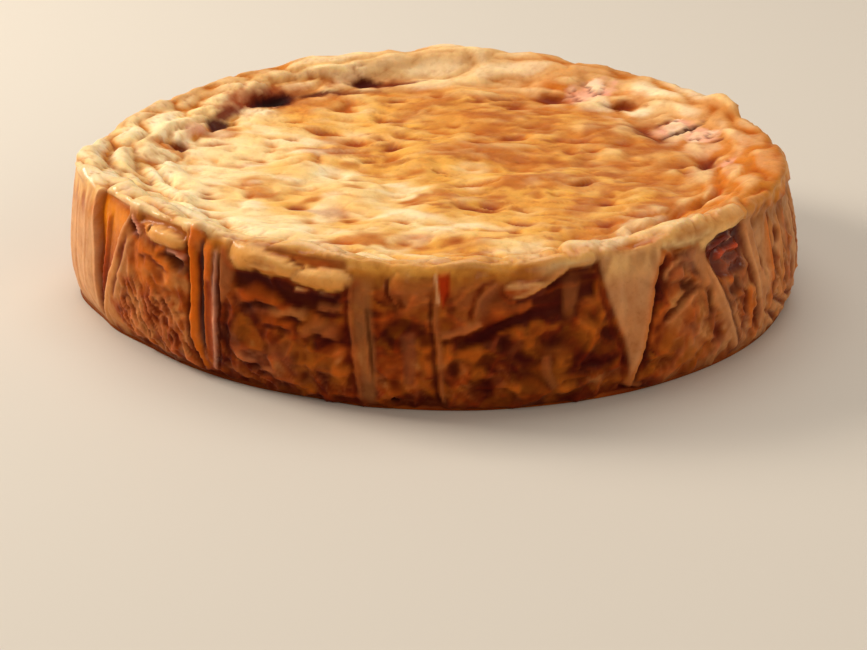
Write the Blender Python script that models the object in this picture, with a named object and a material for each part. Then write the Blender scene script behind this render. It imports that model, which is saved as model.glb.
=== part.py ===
"""A whole baked cheesecake of the burnt Basque kind, with a sunken top, a puffed rim and a side that
shows the pleats of its baking paper. One closed solid, in metres, +Z up, standing on z = 0."""

import math

import bpy
import numpy as np

MM = 0.001

# Driving dimensions of the cake, in metres
WALL_RADIUS = 115.0 * MM
RIM_HEIGHT = 43.7 * MM
TOP_HEIGHT = 37.5 * MM
CENTRE_SAG = 1.2 * MM
FOOT_INSET = 5.0 * MM
LIP_THICKNESS = 1.9 * MM
UNDERLAYER_THICKNESS = 1.3 * MM
LAYER_EDGE = 1.6 * MM

# How finely the surface is laid out before it is thinned to its final faces
COLUMNS = 512
ROW_STEP = 1.5 * MM
MOST_FACES = 11200
NOISE_SEED = 11

# Measured round the cake, by angle in degrees: 0 is the right (+X), 90 the back, 270 the front
RIM_RADIUS_MM = {5: 107.5, 17: 106, 27: 108.5, 36: 107.5, 49: 108.5, 63: 106.5, 72: 108, 82: 108.5,
                 90: 109.5, 95: 107.5, 110: 108.5, 121: 109, 137: 107, 146: 105.5, 159: 105.5, 170: 104,
                 180: 107, 188: 111.5, 196: 111, 204: 108, 215: 107, 232: 107.5, 255: 107.5, 280: 107.5,
                 305: 108.5, 325: 110, 345: 110.5, 354: 109}
RIM_RISE_MM = {5: 0, 17: -0.8, 27: 1.0, 36: -0.6, 49: 0.2, 63: 0.6, 72: 1.6, 82: 2.2, 90: 2.6, 96: 1.2,
               110: 0.0, 125: -0.8, 146: -1.8, 170: -1.6, 180: -0.6, 188: 1.2, 200: 1.0, 210: 1.6,
               220: 2.2, 232: 2.4, 245: 2.2, 255: 1.4, 263: 0.6, 280: 0.2, 305: 0.2, 322: 0.8,
               345: 1.4, 354: 1.6}
PLATEAU_RADIUS_MM = {0: 88, 30: 86, 60: 90, 90: 95, 120: 90, 150: 81, 180: 79, 210: 84, 240: 90,
                     270: 92, 300: 92, 330: 89}
WALL_RADIUS_MM = {20: 116, 45: 115.5, 75: 116, 93: 117, 115: 115.5, 135: 113.5, 155: 112.5, 172: 115,
                  188: 117, 200: 115.5, 209: 113.5, 220: 112.5, 235: 112.5, 250: 113, 265: 114.5,
                  285: 115.5, 305: 116, 330: 117, 351: 117.4}
SHOULDER_RADIUS_MM = {20: 111, 45: 111, 75: 112, 93: 113, 115: 111.5, 135: 109, 155: 108.5, 172: 110.5,
                      183: 114.2, 188: 115.0, 200: 114.2, 209: 112.5, 220: 112.2, 235: 112, 250: 112.4,
                      265: 112.8, 285: 113, 305: 113, 330: 113.2, 351: 113.2}
FOOT_RADIUS_MM = {15: 114, 45: 113, 90: 114, 120: 113, 160: 111, 188: 115, 204: 111, 218: 108,
                  250: 109, 262: 111.5, 280: 113, 305: 114, 335: 115, 355: 115.5}
# Height of the lower edge of the pale skin that folds over the side
LIP_EDGE_MM = {0: 39, 12: 41, 30: 37, 44: 39, 60: 41, 72: 37, 85: 38, 96: 41, 110: 40, 124: 36, 140: 37,
               152: 40, 165: 40, 178: 38, 184: 37, 190: 33, 196: 35, 203: 37, 208: 42, 213: 45, 216: 43,
               219: 42, 221: 39.8, 224: 39.6, 227: 39.8, 230: 42, 236: 42, 238: 40.6, 241: 39.6,
               245: 39.8, 248: 38.6, 250: 37.4, 252.5: 36.8, 255.5: 37.6, 258: 39, 261: 37, 266: 36.5,
               270: 37, 277: 37.5, 281: 38.0, 284: 38.8, 287.5: 39.8, 290: 41, 295: 41.5, 306: 41.5,
               308: 41, 312: 40.5, 315: 41, 318: 42, 324: 43, 330: 41, 345: 39}
# Height of the lower edge of the brown second layer, and how strongly it shows
UNDER_EDGE_MM = {0: 27, 255: 26, 262: 27, 267: 28, 270: 24.5, 274: 25.5, 277: 27.5, 283: 29.5,
                 290: 31, 297: 30}
UNDER_STRENGTH = {0: 0, 120: 0, 130: 0.6, 140: 0, 250: 0, 262: 0.8, 290: 1, 298: 0, 308: 0}


def smooth(low, high, value):
    """0 below low and 1 above high, with an eased rise between them."""
    t = np.clip((value - low) / (high - low), 0, 1)
    return t * t * (3 - 2 * t)


def around(degrees, by_angle):
    """A smooth closed curve round the cake through the values given at some angles."""
    at = np.array(sorted(by_angle), float)
    value = np.array([by_angle[a] for a in sorted(by_angle)], float)
    at = np.append(at, at[0] + 360)
    value = np.append(value, value[0])
    here = np.mod(degrees - at[0], 360) + at[0]
    i = np.clip(np.searchsorted(at, here, side="right") - 1, 0, len(at) - 2)
    t = (here - at[i]) / (at[i + 1] - at[i])
    return value[i] + (value[i + 1] - value[i]) * t * t * (3 - 2 * t)


def lattice_value(ix, iy, iz, seed):
    """A repeatable number from -1 to 1 for each corner of an integer lattice."""
    mixed = (ix * 374761393 + iy * 668265263 + iz * 1440662683 + seed * 974634777) & 0xFFFFFFFF
    mixed = ((mixed ^ (mixed >> 13)) * 1274126177) & 0xFFFFFFFF
    mixed = ((mixed ^ (mixed >> 16)) * 2246822519) & 0xFFFFFFFF
    return (mixed >> 8) / float(1 << 23) - 1


def noise(points, size, seed):
    """Smooth repeatable noise from about -1 to 1, with bumps of the given size."""
    scaled = points / size
    base = np.floor(scaled).astype(np.int64)
    t = scaled - base
    t = t * t * t * (t * (t * 6 - 15) + 10)
    total = 0
    for corner in range(8):
        step = np.array([corner & 1, corner >> 1 & 1, corner >> 2 & 1])
        weight = np.prod(np.where(step, t, 1 - t), axis=1)
        ix, iy, iz = (base + step).T
        total = total + weight * lattice_value(ix, iy, iz, seed)
    return total


def arc_from(degrees, at_degrees):
    """Distance along the side from an angle, in metres, positive to the right as seen from outside."""
    turn = np.mod(degrees - at_degrees + 180, 360) - 180
    return np.radians(turn) * WALL_RADIUS


def strip(degrees, z, top_deg, foot_deg, top, foot, width, edge=0.8 * MM):
    """1 inside a steep band on the side that runs from one angle at its top to another at its foot."""
    run = np.clip((z - foot) / (top - foot), 0, 1)
    centre = foot_deg + (top_deg - foot_deg) * run
    aside = np.abs(arc_from(degrees, centre))
    inside = 1 - smooth(width / 2 - edge / 2, width / 2 + edge / 2, aside)
    ends = smooth(foot - 3 * MM, foot + 3 * MM, z) * (1 - smooth(top - 1.5 * MM, top + 2.5 * MM, z))
    return inside * ends


def side_relief(degrees, z):
    """How far the pleats and flaps of the side stand out or in, in metres."""
    out = np.zeros_like(z)
    # The open fold at the left: a wide mouth that narrows to the foot
    mouth = (2.2 + 7.0 * smooth(6 * MM, 44 * MM, z)) * MM
    out -= 2.2 * MM * strip(degrees, z, 211.6, 209.2, 50 * MM, 7 * MM, mouth)
    # Two upright ridges side by side with a slit between them
    out += 1.9 * MM * strip(degrees, z, 231.8, 231.6, 47 * MM, 4 * MM, 1.8 * MM)
    out += 1.6 * MM * strip(degrees, z, 234.3, 234.5, 43 * MM, 4 * MM, 2.4 * MM)
    out -= 1.6 * MM * strip(degrees, z, 233.0, 232.9, 40 * MM, 8 * MM, 1.4 * MM)
    out -= 1.3 * MM * strip(degrees, z, 236.6, 237.0, 29 * MM, 8 * MM, 4.0 * MM, 2 * MM)
    # Puffed lobes that hang from the rim
    out += 1.6 * MM * strip(degrees, z, 225.0, 225.0, 43 * MM, 41 * MM, 15 * MM, 3 * MM)
    out += 1.8 * MM * strip(degrees, z, 244.0, 244.0, 43.5 * MM, 41 * MM, 20 * MM, 4 * MM)
    out += 1.8 * MM * strip(degrees, z, 252.6, 252.6, 41 * MM, 38.5 * MM, 15 * MM, 4 * MM)
    # Pale runs down the front
    out += 1.5 * MM * strip(degrees, z, 260.0, 260.6, 46 * MM, 3 * MM, 5.0 * MM, 2 * MM)
    out += 1.3 * MM * strip(degrees, z, 270.1, 270.8, 41 * MM, 3 * MM, 1.6 * MM)
    out -= 2.6 * MM * strip(degrees, z, 271.6, 271.4, 40 * MM, 34 * MM, 2.8 * MM)
    out += 1.2 * MM * strip(degrees, z, 290.2, 290.4, 41 * MM, 30 * MM, 3.0 * MM, 1.6 * MM)
    # The long pale flap that narrows to a point
    flap = (1.0 + 19.0 * smooth(2 * MM, 44 * MM, z) ** 0.8) * MM
    out += 1.8 * MM * strip(degrees, z, 300.8, 299.9, 44 * MM, 4 * MM, flap, 1.2 * MM)
    # Slanting and hanging bands at the right
    out += 1.3 * MM * strip(degrees, z, 314.0, 321.5, 39 * MM, 6 * MM, 4.5 * MM, 2 * MM)
    out += 1.0 * MM * strip(degrees, z, 312.0, 306.0, 27 * MM, 20 * MM, 3.0 * MM, 2 * MM)
    out += 1.6 * MM * strip(degrees, z, 327.0, 325.8, 43 * MM, 8 * MM, 6.0 * MM, 2 * MM)
    # The unseen half has pleats of the same kinds
    for angle, width, height in ((352, 5, 1.0), (8, 3, -1.8), (24, 7, 1.2), (41, 3, 1.4),
                                 (58, 5, -2.0), (79, 8, 1.1), (97, 3, 1.4), (113, 4, -1.8),
                                 (131, 6, 1.2), (149, 3, 1.3), (163, 5, -1.6), (177, 4, 1.1)):
        out += height * MM * strip(degrees, z, angle, angle + 1.5, 36 * MM, 6 * MM, width * MM, 2.4 * MM)
    return out


def layers(degrees, z):
    """The pale skin folded over the side, and the brown layer under it, as steps outwards."""
    lip_edge = around(degrees, LIP_EDGE_MM) * MM
    under_edge = around(degrees, UNDER_EDGE_MM) * MM
    lip = LIP_THICKNESS * smooth(lip_edge - LAYER_EDGE, lip_edge + LAYER_EDGE, z)
    under = smooth(under_edge - LAYER_EDGE, under_edge + LAYER_EDGE, z) * around(degrees, UNDER_STRENGTH)
    return lip + UNDERLAYER_THICKNESS * under


# Creases in the top: angle in degrees, radius, half-length round the rim, width and depth in mm
TOP_CREASES = ((127, 88, 9, 5, 1.6), (116, 84, 8, 5, 0.8), (103, 96, 7, 5, 1.6), (150, 83, 5, 5, 1.6),
               (142, 87, 5, 4, 1.4), (168, 86, 3, 6, 2.4), (60, 88, 7, 5, 1.4), (45, 91, 5, 5, 1.4),
               (27, 82, 9, 5, 1.4), (2, 89, 5, 5, 2.0), (196, 84, 8, 4, 1.6), (322, 90, 10, 4, 2.2),
               (303, 95, 9, 3, 1.2), (337, 93, 7, 4, 2.4))
# Puffed folds of the rim: angle, radius, half-length round the rim, width and height in mm
RIM_FOLDS = ((118, 104, 14, 9, 1.8), (132, 98, 8, 7, 2.4), (146, 94, 8, 7, 2.4), (160, 90, 5, 6, 2.0),
             (172, 95, 7, 9, 1.6), (186, 98, 7, 7, 1.2), (206, 100, 10, 8, 1.4), (222, 108, 7, 7, 0.6),
             (245, 108, 7, 8, 0.6), (285, 104, 14, 8, 0.6), (302, 104, 12, 12, 2.2), (319, 109, 6, 8, 2.4),
             (332, 106, 8, 9, 1.6), (350, 101, 8, 8, 1.4), (9, 100, 7, 7, 1.4), (38, 99, 9, 9, 1.2),
             (63, 97, 5, 8, 1.8), (76, 98, 7, 8, 1.4), (88, 106, 10, 7, 1.4))


def rim_patch(degrees, radius, at_degrees, at_mm, half_deg, width_mm):
    """1 on a fold that lies along the rim at an angle and radius, easing to 0 at its ends and sides."""
    turn = np.mod(degrees - at_degrees + 180, 360) - 180
    return np.exp(-(turn / half_deg) ** 4 - ((radius / MM - at_mm) / (width_mm / 2)) ** 2)


def top_relief(degrees, radius):
    """How far the folds, creases and dimples of the top stand up or in, in metres."""
    up = np.zeros_like(radius)
    for at_degrees, at_mm, half_deg, width, depth in TOP_CREASES:
        up -= depth * MM * rim_patch(degrees, radius, at_degrees, at_mm, half_deg, width)
    for at_degrees, at_mm, half_deg, width, height in RIM_FOLDS:
        up += height * MM * rim_patch(degrees, radius, at_degrees, at_mm, half_deg, width)
    # Wrinkles that run along the inner slope at the left front
    wave = np.sin(2 * math.pi * (radius / MM + 0.06 * (degrees - 210)) / 6.5)
    place = np.exp(-((np.mod(degrees - 208 + 180, 360) - 180) / 24) ** 4 - ((radius / MM - 92) / 11) ** 4)
    up += 0.6 * MM * wave * place
    return up


def section_points(degrees):
    """The half section at each angle: radius and height of its control points, centre of the base first."""
    wall = around(degrees, WALL_RADIUS_MM) * MM
    foot = around(degrees, FOOT_RADIUS_MM) * MM
    shoulder = around(degrees, SHOULDER_RADIUS_MM) * MM
    rim = around(degrees, RIM_RADIUS_MM) * MM
    crest = RIM_HEIGHT + around(degrees, RIM_RISE_MM) * MM
    plateau = around(degrees, PLATEAU_RADIUS_MM) * MM
    zero = 0 * wall
    top = TOP_HEIGHT + zero
    radius = [zero, foot * 0.5, foot - FOOT_INSET, foot - 1.2 * MM, foot + 0.4 * MM,
              wall * 0.7 + foot * 0.3, wall, wall * 0.6 + shoulder * 0.4, shoulder,
              shoulder * 0.7 + rim * 0.3, rim + 2.0 * MM, rim - 3.5 * MM, rim * 0.5 + plateau * 0.5,
              plateau + 1.0 * MM, plateau - 7 * MM, plateau * 0.55, plateau * 0.25, zero]
    height = [zero, zero, zero, zero + 0.25 * MM, zero + 2.6 * MM,
              zero + 8 * MM, zero + 17 * MM, zero + 27 * MM, crest - 8.5 * MM,
              crest - 2.6 * MM, crest, crest - 0.7 * MM, crest * 0.45 + top * 0.55,
              top + 0.6 * MM, top, top - CENTRE_SAG * 0.6, top - CENTRE_SAG, top - CENTRE_SAG]
    return np.stack(radius), np.stack(height)


def section_at(station, radius, height):
    """Point and outward normal on the half section, station running from 0 to the last control point."""
    last = len(radius) - 1
    i = np.clip(station.astype(int), 0, last - 1)
    t = station - i
    columns = np.arange(radius.shape[1])

    def curve(values):
        a, b, c, d = (values[np.clip(i + k, 0, last), columns] for k in (-1, 0, 1, 2))
        place = b + 0.5 * t * (c - a + t * (2 * a - 5 * b + 4 * c - d + t * (3 * (b - c) + d - a)))
        slope = 0.5 * (c - a + t * (2 * (2 * a - 5 * b + 4 * c - d) + t * 3 * (3 * (b - c) + d - a)))
        return place, slope

    r, dr = curve(radius)
    z, dz = curve(height)
    length = np.maximum(np.hypot(dr, dz), 1e-9)
    return r, z, dz / length, -dr / length


def row_stations():
    """Stations of the rows, a ROW_STEP apart along the mean section and wider under the base."""
    radius, height = section_points(np.arange(0.0, 360.0, 5.0))
    radius, height = radius.mean(axis=1, keepdims=True), height.mean(axis=1, keepdims=True)
    fine = np.linspace(0, len(radius) - 1, 4000)
    points = [section_at(np.array([s]), radius, height)[:2] for s in fine]
    r, z = np.array(points)[:, 0, 0], np.array(points)[:, 1, 0]
    on_base = (z < 0.1 * MM) & (r < r.max() - 8 * MM)
    step = np.hypot(np.diff(r), np.diff(z)) / np.where(on_base[1:], 6 * ROW_STEP, ROW_STEP)
    run = np.concatenate([[0], np.cumsum(step)])
    rows = np.interp(np.linspace(0, run[-1], int(run[-1]) + 1), run, fine)
    return rows[1:-1], np.interp(rows[1:-1], fine, r)


def columns_for(radius):
    """How many points a row has: fewer near the centre, halving each time."""
    count = COLUMNS
    while count > 16 and 2 * math.pi * radius / (count // 2) < 2.2 * ROW_STEP:
        count //= 2
    return count


def surface_points(degrees, station):
    """Places of points on the finished skin, from their angles and stations."""
    radius, height = section_points(degrees)
    r, z, normal_r, normal_z = section_at(station, radius, height)
    on_side = smooth(0.5 * MM, 5 * MM, z) * smooth(98 * MM, 108 * MM, r)
    on_top = smooth(30 * MM, 36 * MM, z) * (1 - smooth(111 * MM, 115 * MM, r))
    place = np.stack([r * np.cos(np.radians(degrees)), r * np.sin(np.radians(degrees)), z], axis=1)
    out = on_side * (side_relief(degrees, z) + layers(degrees, z))
    out += on_side * 0.6 * MM * noise(place, 11 * MM, NOISE_SEED)
    out += on_top * top_relief(degrees, r)
    rim_share = on_top * smooth(78 * MM, 92 * MM, r)
    out += rim_share * 0.9 * MM * noise(place, 13 * MM, NOISE_SEED + 1)
    out += on_top * 0.45 * MM * noise(place, 8 * MM, NOISE_SEED + 2)
    r, z = r + normal_r * out, z + normal_z * out
    return np.stack([r * np.cos(np.radians(degrees)), r * np.sin(np.radians(degrees)), z], axis=1)


def join_rows(lower, upper):
    """Faces between two closed rows of point numbers, where one row may have half the points."""
    if len(lower) == len(upper):
        n = len(lower)
        return [(lower[j], lower[(j + 1) % n], upper[(j + 1) % n], upper[j]) for j in range(n)]
    fine, coarse = (lower, upper) if len(lower) > len(upper) else (upper, lower)
    n = len(coarse)
    faces = []
    for j in range(n):
        a, b, c = fine[2 * j], fine[2 * j + 1], fine[(2 * j + 2) % len(fine)]
        d, e = coarse[j], coarse[(j + 1) % n]
        faces += [(a, b, d), (b, e, d), (b, c, e)]
    return faces if fine is lower else [face[::-1] for face in faces]


def cake_mesh():
    """The closed skin as rows of points from the centre of the base to the centre of the top."""
    stations, radii = row_stations()
    counts = [columns_for(r) for r in radii]
    angles = [np.arange(n) * 360.0 / n for n in counts]
    degrees = np.concatenate(angles)
    station = np.repeat(stations, counts)
    points = surface_points(degrees, station)
    points[:, 2] = np.maximum(points[:, 2], 0)
    starts = np.concatenate([[0], np.cumsum(counts)])
    rows = [list(range(starts[k], starts[k + 1])) for k in range(len(counts))]
    base_centre, top_centre = len(points), len(points) + 1
    centres = [(0, 0, 0), (0, 0, points[rows[-1], 2].mean())]
    faces = [(base_centre, b, a) for a, b in zip(rows[0], rows[0][1:] + rows[0][:1])]
    for lower, upper in zip(rows, rows[1:]):
        faces += join_rows(lower, upper)
    faces += [(top_centre, a, b) for a, b in zip(rows[-1], rows[-1][1:] + rows[-1][:1])]
    mesh = bpy.data.meshes.new("cheesecake")
    mesh.from_pydata(np.concatenate([points, centres]).tolist(), [], faces)
    mesh.validate()
    return mesh


def baked_crust():
    """The golden brown of the baked skin."""
    material = bpy.data.materials.new("baked_crust")
    material.use_nodes = True
    shader = material.node_tree.nodes["Principled BSDF"]
    shader.inputs["Base Color"].default_value = (0.62, 0.31, 0.10, 1)
    shader.inputs["Roughness"].default_value = 0.5
    shader.inputs["Metallic"].default_value = 0.0
    return material


def build():
    for old in list(bpy.data.objects):
        bpy.data.objects.remove(old)
    mesh = cake_mesh()
    cake = bpy.data.objects.new("cheesecake", mesh)
    bpy.context.scene.collection.objects.link(cake)
    mesh.materials.append(baked_crust())
    mesh.shade_smooth()
    triangles = sum(len(face.vertices) - 2 for face in mesh.polygons)
    thin = cake.modifiers.new("fewer_faces", "DECIMATE")
    thin.ratio = MOST_FACES / triangles
    thin.use_collapse_triangulate = True


build()
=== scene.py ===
"""A burnt cheesecake baked in paper, in a plain studio.

The baked skin is laid out as rows of points along the cake's half section, from the middle of the
base over the side and the rim to the middle of the top. Folds, pleats and spots are then pushed and
painted into those points, and the material adds the fine grain.
"""

import math

import bpy
import numpy as np
from mathutils import Matrix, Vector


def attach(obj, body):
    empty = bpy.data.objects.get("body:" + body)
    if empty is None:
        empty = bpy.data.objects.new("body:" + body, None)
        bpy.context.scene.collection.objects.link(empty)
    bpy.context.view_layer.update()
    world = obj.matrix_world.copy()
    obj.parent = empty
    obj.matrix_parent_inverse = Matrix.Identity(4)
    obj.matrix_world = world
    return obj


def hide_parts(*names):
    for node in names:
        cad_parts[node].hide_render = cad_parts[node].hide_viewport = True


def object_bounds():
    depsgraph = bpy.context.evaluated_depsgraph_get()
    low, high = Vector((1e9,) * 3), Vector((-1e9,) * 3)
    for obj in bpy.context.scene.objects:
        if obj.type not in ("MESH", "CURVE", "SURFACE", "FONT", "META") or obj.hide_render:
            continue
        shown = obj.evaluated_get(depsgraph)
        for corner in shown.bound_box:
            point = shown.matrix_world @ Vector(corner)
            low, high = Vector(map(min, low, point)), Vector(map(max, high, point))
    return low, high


bl_info = {
    "name": "Burnt cheesecake",
    "version": (1, 0, 0),
    "blender": (4, 5, 0),
    "location": "3D View > Sidebar > Cheesecake",
    "description": "Builds a whole burnt cheesecake and a plain studio round it",
    "category": "Add Mesh",
}

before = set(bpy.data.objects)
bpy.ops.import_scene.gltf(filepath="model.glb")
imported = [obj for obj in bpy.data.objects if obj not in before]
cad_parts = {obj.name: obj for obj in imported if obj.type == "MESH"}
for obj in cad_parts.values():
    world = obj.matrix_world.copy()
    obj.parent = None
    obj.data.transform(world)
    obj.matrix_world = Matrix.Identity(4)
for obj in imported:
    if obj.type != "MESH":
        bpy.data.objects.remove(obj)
CAD_LOW, CAD_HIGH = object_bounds()

MM = 0.001
NOISE_SEED = 11
# Points of a full row. Towards the centre a row has a half of them, a quarter and so on, so that its
# gaps don't fall far below the least one
COLUMNS = 832
FEWEST_COLUMNS = 24
LEAST_GAP_MM = 0.68

# The half section, in mm
RIM_HEIGHT = 43.7
TOP_HEIGHT = 37.5
CENTRE_SAG = 1.2
FOOT_INSET = 5.0
SIDE_RADIUS = 114.6

# Turns the lattice of the noise, so that no bump lines up with an axis
LATTICE_TURN = np.array([(0.36, 0.48, -0.80), (-0.80, 0.60, 0.0), (0.48, 0.64, 0.60)])

# Round the cake, by angle in degrees: 0 is the right (+X), 90 the back, 270 the front
RIM_RADIUS_MM = {5: 107.5, 17: 106, 27: 108.5, 36: 107.5, 49: 108.5, 63: 106.5, 72: 108, 82: 108.5,
                 90: 109.5, 95: 107.5, 110: 108.5, 121: 109, 137: 107, 146: 105.5, 159: 105.5, 170: 104,
                 180: 107, 188: 111.5, 196: 111, 204: 108, 215: 107, 232: 107.5, 255: 107.5, 280: 107.5,
                 305: 108.5, 325: 110, 345: 110.5, 354: 109}
RIM_RISE_MM = {5: 0, 17: -0.8, 27: 1.0, 36: -0.6, 49: 0.2, 63: 0.6, 72: 1.6, 82: 2.2, 90: 2.6, 96: 1.2,
               110: 0.0, 125: -0.8, 146: -1.8, 170: -1.6, 180: -0.6, 188: 1.2, 200: 1.0, 210: 1.6,
               220: 2.2, 232: 2.4, 245: 2.2, 255: 1.4, 263: 0.6, 280: 0.2, 305: 0.2, 322: 0.8,
               345: 1.4, 354: 1.6}
PLATEAU_RADIUS_MM = {0: 88, 30: 86, 60: 90, 90: 95, 120: 90, 150: 81, 180: 79, 210: 84, 240: 90,
                     270: 92, 300: 92, 330: 89}
WALL_RADIUS_MM = {20: 116, 45: 115.5, 75: 116, 93: 117, 115: 115.5, 135: 113.5, 155: 112.5, 172: 115,
                  188: 117, 200: 115.5, 209: 113.5, 220: 112.5, 235: 112.5, 250: 113, 265: 114.5,
                  285: 115.5, 305: 116, 330: 117, 351: 117.4}
SHOULDER_RADIUS_MM = {20: 111, 45: 111, 75: 112, 93: 113, 115: 111.5, 135: 109, 155: 108.5, 172: 110.5,
                      183: 114.2, 188: 115.0, 200: 114.2, 209: 112.5, 220: 112.2, 235: 112, 250: 112.4,
                      265: 112.8, 285: 113, 305: 113, 330: 113.2, 351: 113.2}
FOOT_RADIUS_MM = {15: 114, 45: 113, 90: 114, 120: 113, 160: 111, 188: 115, 204: 111, 218: 108,
                  250: 109, 262: 111.5, 280: 113, 305: 114, 335: 115, 355: 115.5}
# Height of the lower edge of the pale skin that folds over the side
LIP_EDGE_MM = {0: 39, 12: 41, 30: 37, 44: 39, 60: 41, 72: 37, 85: 38, 96: 41, 110: 40, 124: 36, 140: 37,
               152: 40, 165: 40, 178: 38, 184: 37, 190: 33, 196: 35, 203: 37, 208: 42, 213: 45, 216: 43,
               219: 42, 221: 39.8, 224: 39.6, 227: 39.8, 230: 42, 236: 42, 238: 40.6, 241: 39.6,
               245: 39.8, 248: 38.6, 250: 37.4, 252.5: 36.8, 255.5: 37.6, 258: 39, 261: 37, 266: 36.5,
               270: 37, 277: 37.5, 281: 38.0, 284: 38.8, 287.5: 39.8, 290: 41, 295: 41.5, 306: 41.5,
               308: 41, 312: 40.5, 315: 41, 318: 42, 324: 43, 330: 41, 345: 39}


def smooth(low, high, value):
    """0 below low and 1 above high, with an eased rise between them."""
    t = np.clip((value - low) / (high - low), 0, 1)
    return t * t * (3 - 2 * t)


def around(degrees, by_angle):
    """A smooth closed curve round the cake through the values given at some angles."""
    at = np.array(sorted(by_angle), float)
    value = np.array([by_angle[a] for a in sorted(by_angle)], float)
    at = np.append(at, at[0] + 360)
    value = np.append(value, value[0])
    here = np.mod(degrees - at[0], 360) + at[0]
    i = np.clip(np.searchsorted(at, here, side="right") - 1, 0, len(at) - 2)
    t = (here - at[i]) / (at[i + 1] - at[i])
    return value[i] + (value[i + 1] - value[i]) * t * t * (3 - 2 * t)


def turn_from(degrees, at):
    """Signed angle from one direction to another, from -180 to 180."""
    return np.mod(degrees - at + 180, 360) - 180


def lattice_value(ix, iy, iz, seed):
    """A repeatable number from -1 to 1 for each corner of an integer lattice."""
    mixed = (ix * 374761393 + iy * 668265263 + iz * 1440662683 + seed * 974634777) & 0xFFFFFFFF
    mixed = ((mixed ^ (mixed >> 13)) * 1274126177) & 0xFFFFFFFF
    mixed = ((mixed ^ (mixed >> 16)) * 2246822519) & 0xFFFFFFFF
    return (mixed >> 8) / float(1 << 23) - 1


def noise(points, size, seed):
    """Smooth repeatable noise from about -1 to 1; size is one length or one for each axis."""
    scaled = (points / np.asarray(size, float)) @ LATTICE_TURN
    base = np.floor(scaled).astype(np.int64)
    t = scaled - base
    eased = t * t * t * (t * (t * 6 - 15) + 10)
    total = 0
    for corner in range(8):
        step = np.array([corner & 1, corner >> 1 & 1, corner >> 2 & 1])
        weight = np.prod(np.where(step, eased, 1 - eased), axis=1)
        ix, iy, iz = (base + step).T
        away = t - step
        for axis in range(3):
            total = total + weight * away[:, axis] * lattice_value(ix, iy, iz, seed * 3 + axis)
    return 2.0 * total


def layered_noise(points, size, seed, octaves=3):
    """Noise with finer noise added to it."""
    total, weight = 0, 0
    for k in range(octaves):
        share = 0.55 ** k
        total = total + share * noise(points, np.asarray(size, float) / 2 ** k, seed + 31 * k)
        weight += share
    return total / weight


def shifted(points, mm, size, seed, octaves=1):
    """The points moved about by noise, so that what is drawn at them winds."""
    return points + mm * layered_noise(points, size, seed, octaves)[:, None]


def crests(points, size, seed, sharpness):
    """1 along winding lines and 0 away from them; the lines get thinner with sharpness."""
    return np.clip(1 - np.abs(noise(points, size, seed)) * sharpness, 0, 1)


def cells(points, size, seed):
    """Distance to the nearest of some scattered centres, the gap to the next one, and a number for it."""
    scaled = (points / np.asarray(size, float)) @ LATTICE_TURN
    base = np.floor(scaled).astype(np.int64)
    nearest = np.full(len(points), 9.0)
    second = np.full(len(points), 9.0)
    chosen = np.zeros(len(points))
    for k in range(27):
        step = np.array([k % 3 - 1, k // 3 % 3 - 1, k // 9 - 1])
        ix, iy, iz = (base + step).T
        spot = np.stack([lattice_value(ix, iy, iz, seed + j) * 0.42 + 0.5 for j in range(3)], axis=1)
        apart = np.linalg.norm(base + step + spot - scaled, axis=1)
        closer = apart < nearest
        second = np.where(closer, nearest, np.minimum(second, apart))
        chosen = np.where(closer, lattice_value(ix, iy, iz, seed + 7), chosen)
        nearest = np.where(closer, apart, nearest)
    return nearest, second - nearest, chosen


def end_to_end(along, values):
    """One value for a whole line, or several spread evenly from its start to its end."""
    values = np.atleast_1d(values)
    return np.interp(along, np.linspace(0, 1, len(values)), values)


def section_points(degrees):
    """The half section at each angle: radius and height of its control points.

    Their numbers are the stations of the skin: 0 is the middle of the base, 3 the foot, 6 the wall,
    8 the shoulder, 10 the crest of the rim, 13 the edge of the plateau and 17 the middle of the top.
    """
    wall = around(degrees, WALL_RADIUS_MM)
    foot = around(degrees, FOOT_RADIUS_MM)
    shoulder = around(degrees, SHOULDER_RADIUS_MM)
    rim = around(degrees, RIM_RADIUS_MM)
    crest = RIM_HEIGHT + around(degrees, RIM_RISE_MM)
    plateau = around(degrees, PLATEAU_RADIUS_MM)
    zero = 0 * wall
    top = TOP_HEIGHT + zero
    radius = [zero, foot * 0.5, foot - FOOT_INSET, foot - 1.2, foot + 0.4,
              wall * 0.7 + foot * 0.3, wall, wall * 0.6 + shoulder * 0.4, shoulder,
              shoulder * 0.7 + rim * 0.3, rim + 2.0, rim - 3.5, rim * 0.5 + plateau * 0.5,
              plateau + 1.0, plateau - 7, plateau * 0.55, plateau * 0.25, zero]
    height = [zero, zero, zero, zero + 0.25, zero + 2.6,
              zero + 8, zero + 17, zero + 27, crest - 8.5,
              crest - 2.6, crest, crest - 0.7, crest * 0.45 + top * 0.55,
              top + 0.6, top, top - CENTRE_SAG * 0.6, top - CENTRE_SAG, top - CENTRE_SAG]
    return np.stack(radius), np.stack(height)


def section_at(station, radius, height):
    """Point and outward normal on the half section, station running from 0 to the last control point."""
    last = len(radius) - 1
    i = np.clip(station.astype(int), 0, last - 1)
    t = station - i
    columns = np.arange(radius.shape[1])

    def curve(values):
        a, b, c, d = (values[np.clip(i + k, 0, last), columns] for k in (-1, 0, 1, 2))
        place = b + 0.5 * t * (c - a + t * (2 * a - 5 * b + 4 * c - d + t * (3 * (b - c) + d - a)))
        slope = 0.5 * (c - a + t * (2 * (2 * a - 5 * b + 4 * c - d) + t * 3 * (3 * (b - c) + d - a)))
        return place, slope

    r, dr = curve(radius)
    z, dz = curve(height)
    length = np.maximum(np.hypot(dr, dz), 1e-9)
    return r, z, dz / length, -dr / length


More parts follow.
